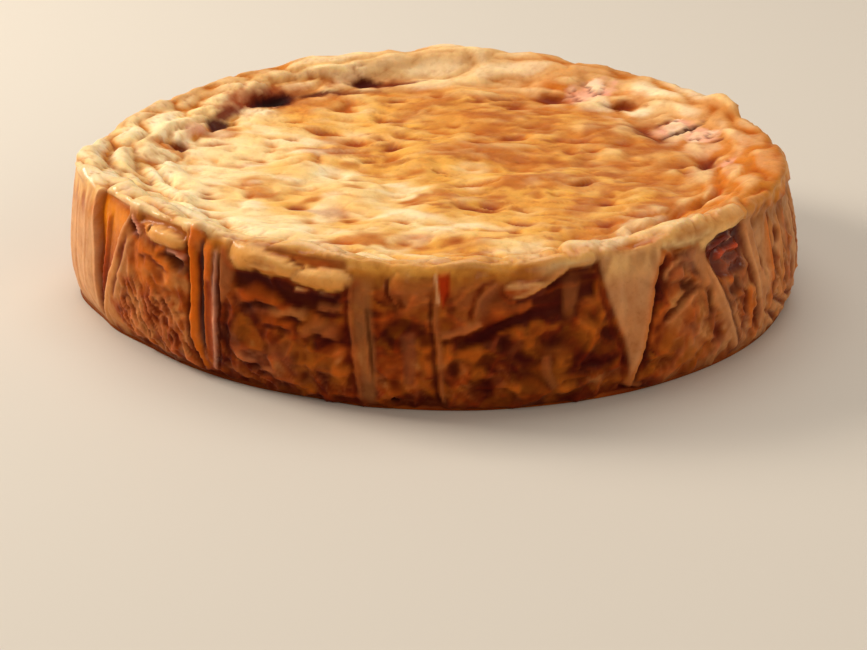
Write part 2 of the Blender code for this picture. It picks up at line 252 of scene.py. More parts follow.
# Up to each station, the distance between rows in mm
ROW_SPACING_MM = ((2, 9.0), (3, 2.4), (9.5, 0.82), (13.3, 0.95), (18, 1.15))


def row_stations():
    """Stations of the rows: wide apart under the base, close on the side and rim, wider on the top."""
    radius, height = section_points(np.arange(0.0, 360.0, 5.0))
    radius, height = radius.mean(axis=1, keepdims=True), height.mean(axis=1, keepdims=True)
    fine = np.linspace(0, len(radius) - 1, 6000)
    r, z = np.array([section_at(np.array([s]), radius, height)[:2] for s in fine])[:, :, 0].T
    spacing = np.zeros(len(fine))
    for until, gap in reversed(ROW_SPACING_MM):
        spacing = np.where(fine < until, gap, spacing)
    run = np.concatenate([[0], np.cumsum(np.hypot(np.diff(r), np.diff(z)) / spacing[1:])])
    rows = np.interp(np.linspace(0, run[-1], int(run[-1]) + 1), run, fine)[1:-1]
    return rows, np.interp(rows, fine, r)


def column_angles():
    """Angles of the columns, closer together over the half that faces the front."""
    fine = np.linspace(0, 360, 3601)
    share = 0.72 + 0.70 * smooth(183, 203, fine) * (1 - smooth(335, 357, fine))
    run = np.concatenate([[0], np.cumsum(share[1:])])
    return np.interp(np.arange(COLUMNS) * run[-1] / COLUMNS, run, fine)


def stride_for(radius):
    """How many columns apart the points of a row are: every one on the side, fewer near the centre."""
    stride = 1
    while COLUMNS / stride > FEWEST_COLUMNS and 2 * math.pi * radius * stride / COLUMNS < LEAST_GAP_MM:
        stride *= 2
    return stride


def srgb(text):
    """Linear red, green and blue from six hexadecimal digits."""
    parts = [int(text[k:k + 2], 16) / 255 for k in (0, 2, 4)]
    return tuple(c / 12.92 if c < 0.04045 else ((c + 0.055) / 1.055) ** 2.4 for c in parts)


class Skin:
    """The points of the baked skin, and what has been pushed and painted into them so far."""

    def __init__(self, degrees, station, colours):
        radius, height = section_points(degrees)
        self.degrees = degrees
        self.station = station
        self.r, self.z, self.normal_r, self.normal_z = section_at(station, radius, height)
        self.x = self.r * np.cos(np.radians(degrees))
        self.y = self.r * np.sin(np.radians(degrees))
        self.place = np.stack([self.x, self.y, self.z], axis=1)
        self.side = smooth(2.7, 3.5, station) * (1 - smooth(9.4, 10.4, station))
        self.top = smooth(9.2, 10.3, station)
        self.under = 1 - smooth(2.6, 3.6, station)
        self.out = np.zeros(len(degrees))
        self.lift = np.zeros(len(degrees))
        self.gloss = np.full(len(degrees), 0.5)
        self.colours = colours
        self.rgb = np.tile(np.array(colours["crust"]), (len(degrees), 1))
        # Features are drawn in slightly bent coordinates, so their edges wander as baked ones do
        bend = self.ring_place(self.z)
        self.bent_degrees = (degrees + 0.30 * noise(bend, (11, 11, 20), 101)
                             + 0.07 * noise(bend, (4, 4, 6), 102))
        self.bent_z = self.z + 0.45 * noise(bend, 6, 103) + 0.3 * noise(bend, 2.6, 104)
        self.ragged = layered_noise(bend, (6, 6, 5), 106, 2)
        self.torn = layered_noise(self.place, (4, 4, 6), 107, 2)
        self.uneven = np.clip(1 + 0.5 * layered_noise(bend, (9, 9, 24), 105, 2), 0.5, 1.5)

    def ring_place(self, third, lean=0.0):
        """Points on a plain cylinder with another length as their height, for noise that has a grain."""
        angle = np.radians(self.degrees) + lean * self.z / SIDE_RADIUS
        return np.stack([SIDE_RADIUS * np.cos(angle), SIDE_RADIUS * np.sin(angle), third], axis=1)

    def around(self, by_angle):
        """A smooth curve round the cake through the values given at some angles."""
        return around(self.degrees, by_angle)

    def between(self, low, low_full, high_full, high):
        """1 from one angle to another, easing to 0 on both sides."""
        return smooth(low, low_full, self.degrees) * (1 - smooth(high_full, high, self.degrees))

    def run_from(self, degrees):
        """Distance round the side from an angle, in mm, positive to the right as seen from outside."""
        return np.radians(turn_from(self.bent_degrees, degrees)) * SIDE_RADIUS

    def paint(self, mask, colour, amount=1.0):
        """Moves the colour of the points towards a named one."""
        share = np.clip(mask * amount, 0, 1)[:, None]
        self.rgb += (np.array(self.colours[colour]) - self.rgb) * share

    def polish(self, mask, gloss):
        """Moves the gloss of the points towards a value: 0 is dull and 1 is wet."""
        self.gloss += (gloss - self.gloss) * np.clip(mask, 0, 1)

    def push(self, mask, mm):
        """Moves the points out of the skin, or into it with a length below 0."""
        self.out += mask * mm

    def level(self, mask, amount=0.7):
        """Calms the small relief that lies under a sheet."""
        self.out *= 1 - amount * np.clip(mask, 0, 1)

    def dress(self, mask, colour, amount, gloss):
        """Paints and polishes a place, each only where it is given."""
        if colour:
            self.paint(mask, colour, amount)
        if gloss is not None:
            self.polish(mask, gloss)
        return mask

    def follow(self, line):
        """Distance to a line of (degrees, z) on the side, the way along it from 0 to 1, and its side."""
        line = np.array(line, float)
        middle = line[:, 0].mean()
        u = self.run_from(middle)
        v = self.bent_z
        knots = np.stack([np.radians(line[:, 0] - middle) * SIDE_RADIUS, line[:, 1]], axis=1)
        lengths = np.hypot(*(knots[1:] - knots[:-1]).T)
        total = lengths.sum()
        best = np.full(len(u), 1e9)
        along = np.zeros(len(u))
        hand = np.ones(len(u))
        done = 0.0
        for (ua, va), (ub, vb), length in zip(knots[:-1], knots[1:], lengths):
            du, dv = (ub - ua) / length, (vb - va) / length
            t = np.clip((u - ua) * du + (v - va) * dv, 0, length)
            apart = np.hypot(u - ua - t * du, v - va - t * dv)
            near = apart < best
            best = np.where(near, apart, best)
            along = np.where(near, (done + t) / total, along)
            hand = np.where(near, np.sign((u - ua) * dv - (v - va) * du), hand)
            done += length
        return best, along, hand

    def faded(self, along, ends):
        """1 along a line on the side, easing to 0 over a share of it at both ends."""
        return smooth(-0.01, ends, along) * (1 - smooth(1 - ends, 1.01, along)) * self.side

    def ridge(self, line, width, height, colour=None, amount=0.9, gloss=None, ends=0.08, round_top=True):
        """A fold or, with a height below 0, a groove along a line; width may change from end to end."""
        apart, along, _ = self.follow(line)
        half = np.maximum(end_to_end(along, width) / 2 * self.uneven, 0.25)
        share = np.clip(apart / half, 0, 2.5)
        shape = np.exp(-(share * 1.05) ** 2) if round_top else 1 - smooth(0.55, 1.25, share)
        fade = self.faded(along, ends)
        inside = (1 - smooth(0.55, 1.35, share)) * fade
        self.level(inside)
        self.push(shape * fade, end_to_end(along, height))
        self.dress(inside, colour, amount, gloss)

    def patch(self, degrees, z, wide, tall, push=0.0, colour=None, amount=0.9, gloss=None, soft=0.5):
        """A rounded place on the side, wide and tall in mm, that stands out or in and has its colour."""
        reach = np.hypot(self.run_from(degrees) / (wide / 2), (self.bent_z - z) / (tall / 2))
        reach = reach * (1 + 0.9 * soft * self.ragged)
        mask = (1 - smooth(1 - soft, 1 + soft, reach)) * self.side
        self.push(np.clip(1 - reach ** 2, 0, 1) * self.side, 1.2 * push)
        return self.dress(mask, colour, amount, gloss)

    def panel(self, left, right, edge=0.7):
        """1 between two lines of (z, degrees) up the side, lowest z first."""
        left, right = np.array(left, float), np.array(right, float)
        middle = (left[:, 1].mean() + right[:, 1].mean()) / 2
        u = turn_from(self.bent_degrees, middle)
        mm_per_degree = math.radians(SIDE_RADIUS)
        from_left = (u - (np.interp(self.bent_z, left[:, 0], left[:, 1]) - middle)) * mm_per_degree
        from_right = ((np.interp(self.bent_z, right[:, 0], right[:, 1]) - middle) - u) * mm_per_degree
        low, high = max(left[0, 0], right[0, 0]), min(left[-1, 0], right[-1, 0])
        ends = smooth(low - 1.0, low + 1.0, self.bent_z) * (1 - smooth(high - 1.5, high + 1.5, self.bent_z))
        return smooth(0, edge, from_left) * smooth(0, edge, from_right) * ends * self.side

    def spot(self, degrees, radius, wide, tall, push=0.0, colour=None, amount=0.9, gloss=None, soft=0.6,
             tilt=0):
        """A rounded place on the top: wide along the rim and tall across it, in mm, turned by tilt."""
        way = math.radians(degrees)
        centre_x, centre_y = radius * math.cos(way), radius * math.sin(way)
        bend = 1.0 * noise(self.place, 7, 111), 1.0 * noise(self.place, 7, 112)
        dx, dy = self.x - centre_x + bend[0], self.y - centre_y + bend[1]
        way = math.radians(degrees + 90 + tilt)
        along = dx * math.cos(way) + dy * math.sin(way)
        across = -dx * math.sin(way) + dy * math.cos(way)
        reach = np.hypot(along / (wide / 2), across / (tall / 2)) * (1 + 0.5 * self.torn)
        mask = (1 - smooth(1 - soft, 1 + soft, reach)) * self.top
        self.push(np.exp(-reach ** 2 * 1.6) * self.top, push)
        return self.dress(mask, colour, amount, gloss)

    def flap(self, line, hand, width, height, colour=None, amount=0.8, edge="peach", shade="maroon",
             ends=0.1):
        """A sheet that rises across its width to a crisp edge along the line, and the crease past it.

        The line runs from the bottom up. The sheet lies on its right where hand is 1, on its left at -1.
        """
        apart, along, side = self.follow(line)
        signed = apart * side * hand
        wide = end_to_end(along, width) * self.uneven
        fade = self.faded(along, ends) * (1 - smooth(1.0, 1.3, apart / np.maximum(wide, 1)))
        sheet = smooth(-0.5, 0.35, signed) * fade
        near_edge = sheet * (1 - smooth(0.35, 1.0, signed / wide))
        tall = end_to_end(along, height)
        self.level(near_edge, 0.6)
        self.push(sheet * np.clip(1 - signed / wide, 0, 1) ** 1.4, tall)
        crease = np.exp(-((signed + 1.1) / 0.8) ** 2) * fade
        self.push(crease, -0.55 * tall)
        if colour:
            self.paint(near_edge, colour, amount)
        # Painted highlight along the crisp edge of the sheet
        if edge:
            self.paint(np.exp(-((signed - 0.45) / 0.6) ** 2) * fade, edge, 0.7)
        # Painted shadow in the crease past the edge
        if shade:
            self.paint(crease, shade, 0.75)

    def lobe(self, degrees, z, wide, tall, push, light, dark, slope=0.0, point=0.0):
        """A puffed place on the side with painted light and shade: lighter above, darker towards its lower
        edge.

        Its middle line rises by slope to the right, and its right end is drawn in by point.
        """
        u = self.run_from(degrees)
        v = (self.bent_z - z - slope * u) / (tall / 2) * (1 + point * np.clip(u / (wide / 2), -1, 1))
        reach = np.hypot(u / (wide / 2), v)
        inside = (1 - smooth(0.85, 1.12, reach)) * self.side
        self.level(inside, 0.8)
        self.push(np.clip(1 - reach ** 2, 0, 1) ** 0.7 * self.side, push)
        self.paint(inside, light, 0.92)
        # Painted shade over the lower part, in the dark colour
        self.paint(inside * (1 - smooth(-1.0, 0.3, v)), dark, 0.85)
        # Painted highlight in a band near the top
        self.paint(inside * smooth(0.0, 0.5, v) * (1 - smooth(0.5, 1.0, v)), "pale", 0.6)
        # Painted shadow along the lower edge, under the puff
        rim = np.exp(-((reach - 1.15) / 0.12) ** 2) * self.side
        self.paint(rim * smooth(0.3, -0.3, v), "red_brown", 0.5)
        self.polish(inside, 0.62)


def paint_side_ground(skin):
    """The marbled brown of the side before its folds: orange at the left, darkest at the front."""
    ring = skin.ring_place(skin.z)
    dark = skin.around({0: 0.22, 30: 0.45, 60: 0.38, 90: 0.5, 120: 0.42, 150: 0.45, 175: 0.2, 206: 0.05,
                        213: 0.22, 226: 0.28, 236: 0.60, 245: 0.76, 258: 0.70, 268: 0.66, 280: 0.86,
                        295: 0.84, 303: 0.66, 312: 0.38, 322: 0.26, 332: 0.0, 345: -0.15})
    warped = shifted(ring, 4.0, 11, 122, 2)
    blotch = layered_noise(warped, (12, 12, 8), 121, 3)
    streaks = layered_noise(warped, (4.5, 4.5, 11), 123, 2)
    dark = dark + 0.85 * blotch + 0.30 * streaks
    skin.paint(skin.side, "tan")
    skin.paint(skin.side * smooth(0.05, 0.42, dark), "amber", 0.9)
    skin.paint(skin.side * smooth(0.32, 0.70, dark), "brown", 0.95)
    skin.paint(skin.side * smooth(0.62, 0.98, dark), "maroon", 0.92)
    right = smooth(303, 330, skin.degrees) * smooth(-0.5, 0.3, streaks)
    skin.paint(skin.side * right, "peach", 0.75)
    high_front = skin.between(262, 268, 288, 296) * smooth(27, 36, skin.z)
    skin.paint(skin.side * high_front, "amber", 0.85)
    skin.paint(skin.side * high_front, "tan", 0.22)
    veil = layered_noise(warped, (16, 16, 11), 141, 3)
    skin.paint(skin.side * smooth(0.10, 0.42, veil) * (1 - smooth(26, 32, skin.z)), "mauve", 0.55)
    glow = layered_noise(warped, (9, 9, 7), 151, 2)
    front = skin.between(232, 245, 312, 330)
    skin.paint(skin.side * smooth(0.06, 0.42, glow) * (0.35 + 0.65 * front), "marble", 0.85)
    skin.paint(skin.side * smooth(0.30, 0.6, glow) * front, "amber", 0.6)
    low_front = skin.between(272, 280, 299, 306) * (1 - smooth(16, 25, skin.z))
    skin.paint(skin.side * low_front, "maroon", 0.42)


def shape_side_ground(skin):
    """Soft slanting folds, upright streaks and pits all over the side."""
    ring = skin.ring_place(skin.z)
    rough = skin.around({0: 0.6, 90: 0.8, 170: 0.5, 183: 0.1, 206: 0.1, 214: 0.5, 228: 0.7, 245: 0.8,
                         290: 0.8, 320: 0.8, 345: 0.6})
    skin.push(skin.side, 0.7 * noise(ring, 14, NOISE_SEED))
    streak = layered_noise(ring, (2.8, 2.8, 30), 171, 2)
    skin.push(skin.side * (1 - rough), 0.3 * streak)
    # Folds of a wet skin that has slumped: they lean, swell and die out
    warped = shifted(ring, 3.6, 13, 172, 2)
    skin.push(skin.side * rough, 1.2 * crests(warped, (12, 12, 7), 174, 2.4) ** 1.5)
    skin.push(skin.side * rough, 0.40 * crests(warped, (5.5, 5.5, 3.6), 175, 2.4) ** 2)
    # Wrinkles that run down to the right, low on the left front and on the far right
    zone = skin.around({0: 0.6, 30: 0.7, 90: 0.5, 150: 0.6, 185: 0.0, 211: 0.0, 214: 1.0, 230: 1.0,
                        238: 0.5, 250: 0.25, 285: 0.15, 300: 0.2, 328: 0.5, 340: 0.8, 350: 0.6})
    high = skin.around({0: 22, 200: 20, 214: 26, 230: 20, 245: 12, 300: 14, 325: 24, 345: 30})
    zone = zone * (1 - smooth(high - 5, high + 4, skin.z + 4 * noise(ring, 9, 182))) * skin.side
    slanted = shifted(skin.ring_place(skin.z, 0.62), 1.2, 6, 183)
    wrinkle = crests(slanted, (3.4, 3.4, 10), 191, 2.6)
    finer = crests(slanted, (2.2, 2.2, 6), 192, 2.4)
    skin.push(zone * smooth(2, 5, skin.z), 0.95 * wrinkle ** 1.6 + 0.4 * finer ** 2)
    # Pink on the crests of the wrinkles and rust between them: painted highlight and shade, partly the
    # skin's own colour
    skin.paint(zone * smooth(0.45, 0.95, wrinkle), "pinkish", 0.6)
    skin.paint(zone * (1 - smooth(0.05, 0.4, wrinkle)), "rust", 0.6)
    nearest, _, chance = cells(shifted(ring, 1.3, 5, 181), (5.2, 5.2, 6.5), 193)
    pit = (1 - smooth(0.05, 0.42, nearest)) * smooth(0.1, 0.6, chance) * skin.side * rough
    skin.push(pit, -0.8)
    skin.paint(pit, "maroon", 0.5)


def fold_lip_over(skin):
    """The pale skin of the top that folds over the side and ends in a rounded, hanging edge."""
    edge = around(skin.bent_degrees, LIP_EDGE_MM) + 0.5 * noise(skin.ring_place(skin.z * 0), 4.5, 201)
    above = skin.bent_z - edge
    thick = skin.around({0: 0.9, 60: 1.1, 120: 1.2, 172: 0.8, 182: 0.15, 206: 0.1, 217: 0.3, 221: 0.8,
                         229: 0.8, 233: 0.2, 238: 0.6, 243: 0.8, 254: 0.9, 259: 0.1, 266: 0.3, 275: 0.1,
                         285: 0.2, 291: 0.5, 297: 0.1, 306: 0.2, 312: 0.5, 320: 1.4, 328: 0.7, 340: 0.8})
    near_top = smooth(27, 30, skin.z)
    body = smooth(-0.45, 0.45, above) * near_top * skin.side
    bulge = np.exp(-((above - 1.9) / 2.1) ** 2) * near_top * skin.side
    front = skin.between(180, 190, 313, 330)
    skin.level(body * front, 0.75)
    swell = noise(skin.ring_place(skin.z), (8, 8, 14), 203)
    skin.push(body, (0.8 + 0.9 * swell) * thick + 0.35 * swell * front)
    skin.push(bulge, 0.6 * thick)
    skin.lift -= 0.45 * thick * np.exp(-((above - 0.5) / 1.2) ** 2) * near_top * skin.side
    return body, above, near_top


def paint_lip(skin, body, above, near_top):
    """Pale gold on the hanging skin, browner towards its lower edge, and dark just beneath it, a painted
    shade under the overhang that is partly burnt skin. The cream at the right front is partly a painted
    highlight.
    """
    fresh = skin.around({0: 0.4, 90: 0.45, 176: 0.6, 184: 0.9, 206: 0.9, 225: 0.8, 250: 0.8, 260: 0.7,
                         270: 0.7, 298: 0.6, 305: 1.0, 318: 1.0, 330: 0.5})
    ring = skin.ring_place(skin.z)
    streak = noise(ring, (2.6, 2.6, 22), 213)
    left = skin.between(180, 186, 206, 210)
    front = skin.between(257, 262, 290, 300)
    reach = above + 1.0 * noise(ring, 6, 212) + 4.0 * streak * left
    hung = near_top * skin.side
    # Each colour starts at one height over the edge and is full at another, both higher at the front
    browned = smooth(-1.2, 1.0 + 1.2 * front, reach)
    skin.paint(browned * hung, "ochre", 0.9 * (1 - 0.85 * left))
    turned = smooth(0.4 - 3 * left + 2.2 * front, 2.6 + 1.0 * left + 2.6 * front, reach)
    skin.paint(turned * hung, "gold_edge", 0.9 * (1 - 0.5 * left))
    clear = smooth(2.0 - 1.0 * left + 3.2 * front, 4.6 + 3.0 * left + 3.0 * front, reach)
    skin.paint(clear * hung, "pale", fresh)
    golden = skin.between(232, 250, 296, 312)
    skin.paint(smooth(3.0, 6.0, reach) * hung * golden, "gold", 0.75)
    skin.paint(hung * golden * smooth(0.05, 0.5, streak) * smooth(0.5, 3.0, reach), "crease", 0.45)
    # Cream on the right front lip: partly a painted highlight, partly paler skin
    cream_and_highlight = skin.between(284, 292, 322, 330)
    skin.paint(smooth(-0.5, 2.0, reach) * hung * cream_and_highlight, "cream", 0.92)
    # Dark just under the hanging edge: painted shade under the overhang, partly burnt skin
    burnt = np.exp(-((above + 3.0) / 2.8) ** 2) * (1 - smooth(-0.8, 0.3, above)) * hung
    share = skin.around({0: 0.3, 90: 0.5, 170: 0.1, 200: 0.0, 207: 0.1, 216: 0.4, 228: 0.4, 238: 0.5,
                         243: 1.0, 256: 1.0, 260: 0.1, 268: 0.1, 276: 0.3, 283: 0.9, 294: 1.0,
                         298: 0.1, 306: 0.3, 318: 0.8, 330: 0.3})
    skin.paint(burnt, "maroon", share)
    skin.polish(body, 0.62)


def fold_left_pleats(skin):
    """The smooth left panel, the open amber fold beside it and the double pleat."""
    panel = smooth(176, 184, skin.bent_degrees) * (1 - smooth(204.4, 205.0, skin.bent_degrees)) * skin.side
    ring = skin.ring_place(skin.z)
    skin.level(panel, 0.6)
    skin.paint(panel * (1 - smooth(30, 40, skin.z + 3 * noise(ring, (4, 4, 20), 230))), "panel", 0.85)
    skin.paint(panel * smooth(0.0, 0.5, noise(ring, (2.2, 2.2, 26), 231)), "tan", 0.32)
    low = 1 - smooth(12, 34, skin.z)
    skin.paint(panel * low * smooth(-0.2, 0.5, noise(ring, (7, 7, 18), 232)), "chamois", 0.5)
    skin.push(panel * smooth(4, 12, skin.z), 0.5)
    for degrees, foot, top, height in ((188.5, 6, 42, 0.3), (194.0, 3, 38, 0.35), (200.2, 10, 44, 0.3)):
        skin.flap([(degrees - 0.8, foot), (degrees, (foot + top) / 2), (degrees + 0.3, top)], -1, 8, height,
                  edge="panel", shade="chamois")
    # Open fold: wide at its mouth, with a glossy amber lining that darkens downwards
    fold = skin.panel([(2, 203.2), (6, 204.0), (10, 204.5), (20, 204.6), (30, 204.2), (40, 203.6),
                       (50, 203.2)],
                      [(2, 203.8), (6, 205.2), (14, 207.3), (22, 209.4), (30, 211.6), (39, 213.7),
                       (43, 214.6), (50, 216)], 0.8)
    skin.level(fold, 0.9)
    skin.push(fold * (0.45 + 0.55 * smooth(6, 18, skin.z)), -1.9)
    skin.paint(fold, "lining", 0.97)
    skin.paint(fold * (1 - smooth(20, 38, skin.z)), "red_brown", 0.9)
    skin.paint(fold * (1 - smooth(6, 20, skin.z)), "maroon", 0.85)
    skin.ridge([(204.4, 5), (205.4, 14), (206.4, 26), (207.4, 40)], 1.8, -0.5, "red_brown", 0.5)
    skin.polish(fold, 0.66)
    skin.flap([(203.2, 2.5), (204.2, 8), (204.4, 18), (204.1, 30), (203.4, 45)], -1, 3.2, 0.5,
              edge="panel", shade=None, ends=0.04)
    skin.flap([(204.0, 1.5), (205.8, 6), (207.8, 14), (209.9, 22), (212.0, 30), (214.0, 38), (215.0, 42)],
              1, 5.0, [0.5, 0.8, 0.8], "tan", 0.3, shade=None, ends=0.04)
    skin.flap([(210.5, 13), (212.6, 22), (214.4, 30), (216.2, 37)], 1, 4.5, 0.7, "tan", 0.35, shade="rust")
    # The tip of that pleat turns over, brown inside
    skin.patch(217.6, 39.6, 4.6, 5.4, -0.9, "red_brown", 0.85)
    skin.flap([(215.6, 43), (217.0, 41), (219.0, 38.2)], -1, 2.4, 0.9, edge="blush")
    # Recess under the rim and the pale puffed lip with its tiny hole
    skin.ridge([(217.5, 43.4), (221, 44.4), (226, 44.4), (230, 43.2)], 3.4, -1.2, "gold_edge", 0.9, 0.6)
    skin.lobe(225.0, 40.9, 18, 5.4, 2.2, "lobe", "crease")
    # The tiny hole, painted near black: painted shade inside it
    skin.patch(221.2, 41.6, 1.5, 1.5, -1.4, "char", 0.95, soft=0.3)
    # Orange, pink and dark red places under the lip
    skin.patch(219.5, 30, 9, 15, 0.5, "orange", 0.6)
    skin.patch(228.0, 34.4, 6.5, 4.4, -1.4, "maroon", 0.85, soft=0.8)
    skin.flap([(225.2, 36.2), (227.4, 36.8), (230.2, 37.0)], -1, 2.2, 0.9, edge="blush")
    skin.flap([(223.0, 35.2), (224.8, 36.6), (225.6, 38.0)], -1, 2.2, 0.8, "orange", 0.7, edge="orange")
    skin.flap([(218.5, 33.4), (221.5, 34.2), (224, 32.6), (226.5, 31.4)], -1, 3.4, 0.8, "orange", 0.6,
              edge="orange", shade="rust")
    skin.patch(225.5, 28.5, 6, 7, 0.4, "orange", 0.5, soft=0.8)
    # Double pleat with a flared top
    skin.flap([(232.4, 2), (231.4, 9), (231.1, 20), (231.3, 30), (230.9, 38), (230.4, 43)], 1, 3.4,
              [0.8, 1.3, 1.5, 1.9], "orange", 0.85, edge="orange", ends=0.05)
    tip = skin.patch(231.8, 44.0, 5.0, 7.0, 1.8, "orange", 0.95, 0.7)
    skin.lift += 2.0 * tip
    skin.ridge([(233.1, 43), (232.9, 34), (232.9, 22), (232.8, 9)], [0.9, 1.9, 2.1, 1.1],
               [-0.8, -1.9, -1.8, -0.8], "maroon", 0.92, 0.8)
    skin.ridge([(234.5, 45), (234.3, 34), (234.3, 20), (234.0, 8), (233.7, 4)], [4.4, 3.4, 3.0, 2.2],
               [1.3, 1.1, 1.0, 0.7], "orange", 0.8, 0.62, round_top=False)
    skin.ridge([(234.4, 33), (234.3, 18), (234.0, 6)], 2.6, 0.0, "red_brown", 0.85)
    skin.flap([(234.2, 2.5), (235.3, 9), (235.6, 20), (235.7, 32), (236.0, 42)], -1, 2.2,
              [0.8, 1.2, 1.1, 0.7], edge="blush", ends=0.05)
    # Smooth flap right of it, over a dark hollow
    flap = skin.panel([(26, 236.2), (34, 236.2), (43, 236.2)], [(26, 237.0), (31, 239.0), (43, 240.2)], 1.2)
    skin.level(flap)
    skin.push(flap, 0.7)
    skin.paint(flap, "dusk", 0.8)
    skin.patch(237.4, 16, 4.0, 20, -0.9, "maroon", 0.75, soft=0.8)


# Slanting folds under the front lobes: line, width and height in mm, colour
FRONT_FOLDS = (([(239.0, 27), (243, 29.6), (248, 28.6)], 5.5, 1.0, "amber"),
               ([(245.0, 25.0), (249, 26.6), (252, 26.0)], 4.5, 0.9, "tan"),
               ([(243.5, 21.5), (246, 23.6), (249.5, 22.6)], 4.5, 0.9, "amber"),
               ([(250.0, 20.0), (253.5, 22.4), (257, 21.0)], 5.0, 0.9, "dusk"),
               ([(252.5, 29.6), (255.4, 28.8), (257.6, 30)], 3.2, 0.8, "dusk"),
               ([(238.6, 12), (240.5, 9.4), (243, 8.4)], 3.6, 1.0, "pinkish"),
               ([(241.5, 5.8), (244.0, 7.6), (246.4, 7.0)], 3.0, 0.8, "pinkish"))
# Dark hollows and amber marbling low on the front: angle, z, width and height in mm
FRONT_HOLLOWS = ((288, 20.5, 8, 6), (296.0, 20.5, 7, 7), (283.5, 15, 8, 10), (293.5, 12, 10, 6),
                 (277, 8, 8, 7), (299, 12, 5, 7), (272.8, 14, 4, 6), (280, 21, 5, 4))
FRONT_MARBLING = ((276, 18.5, 7, 5), (292.6, 24, 5, 9), (288.4, 13, 4.4, 10), (299, 5, 10, 4),
                  (282, 7, 8, 4), (276.5, 13, 5, 4), (252, 15, 4, 12), (256, 9, 6, 8),
                  (284, 20, 4, 4), (295, 27, 4, 4), (289, 5.5, 6, 4))


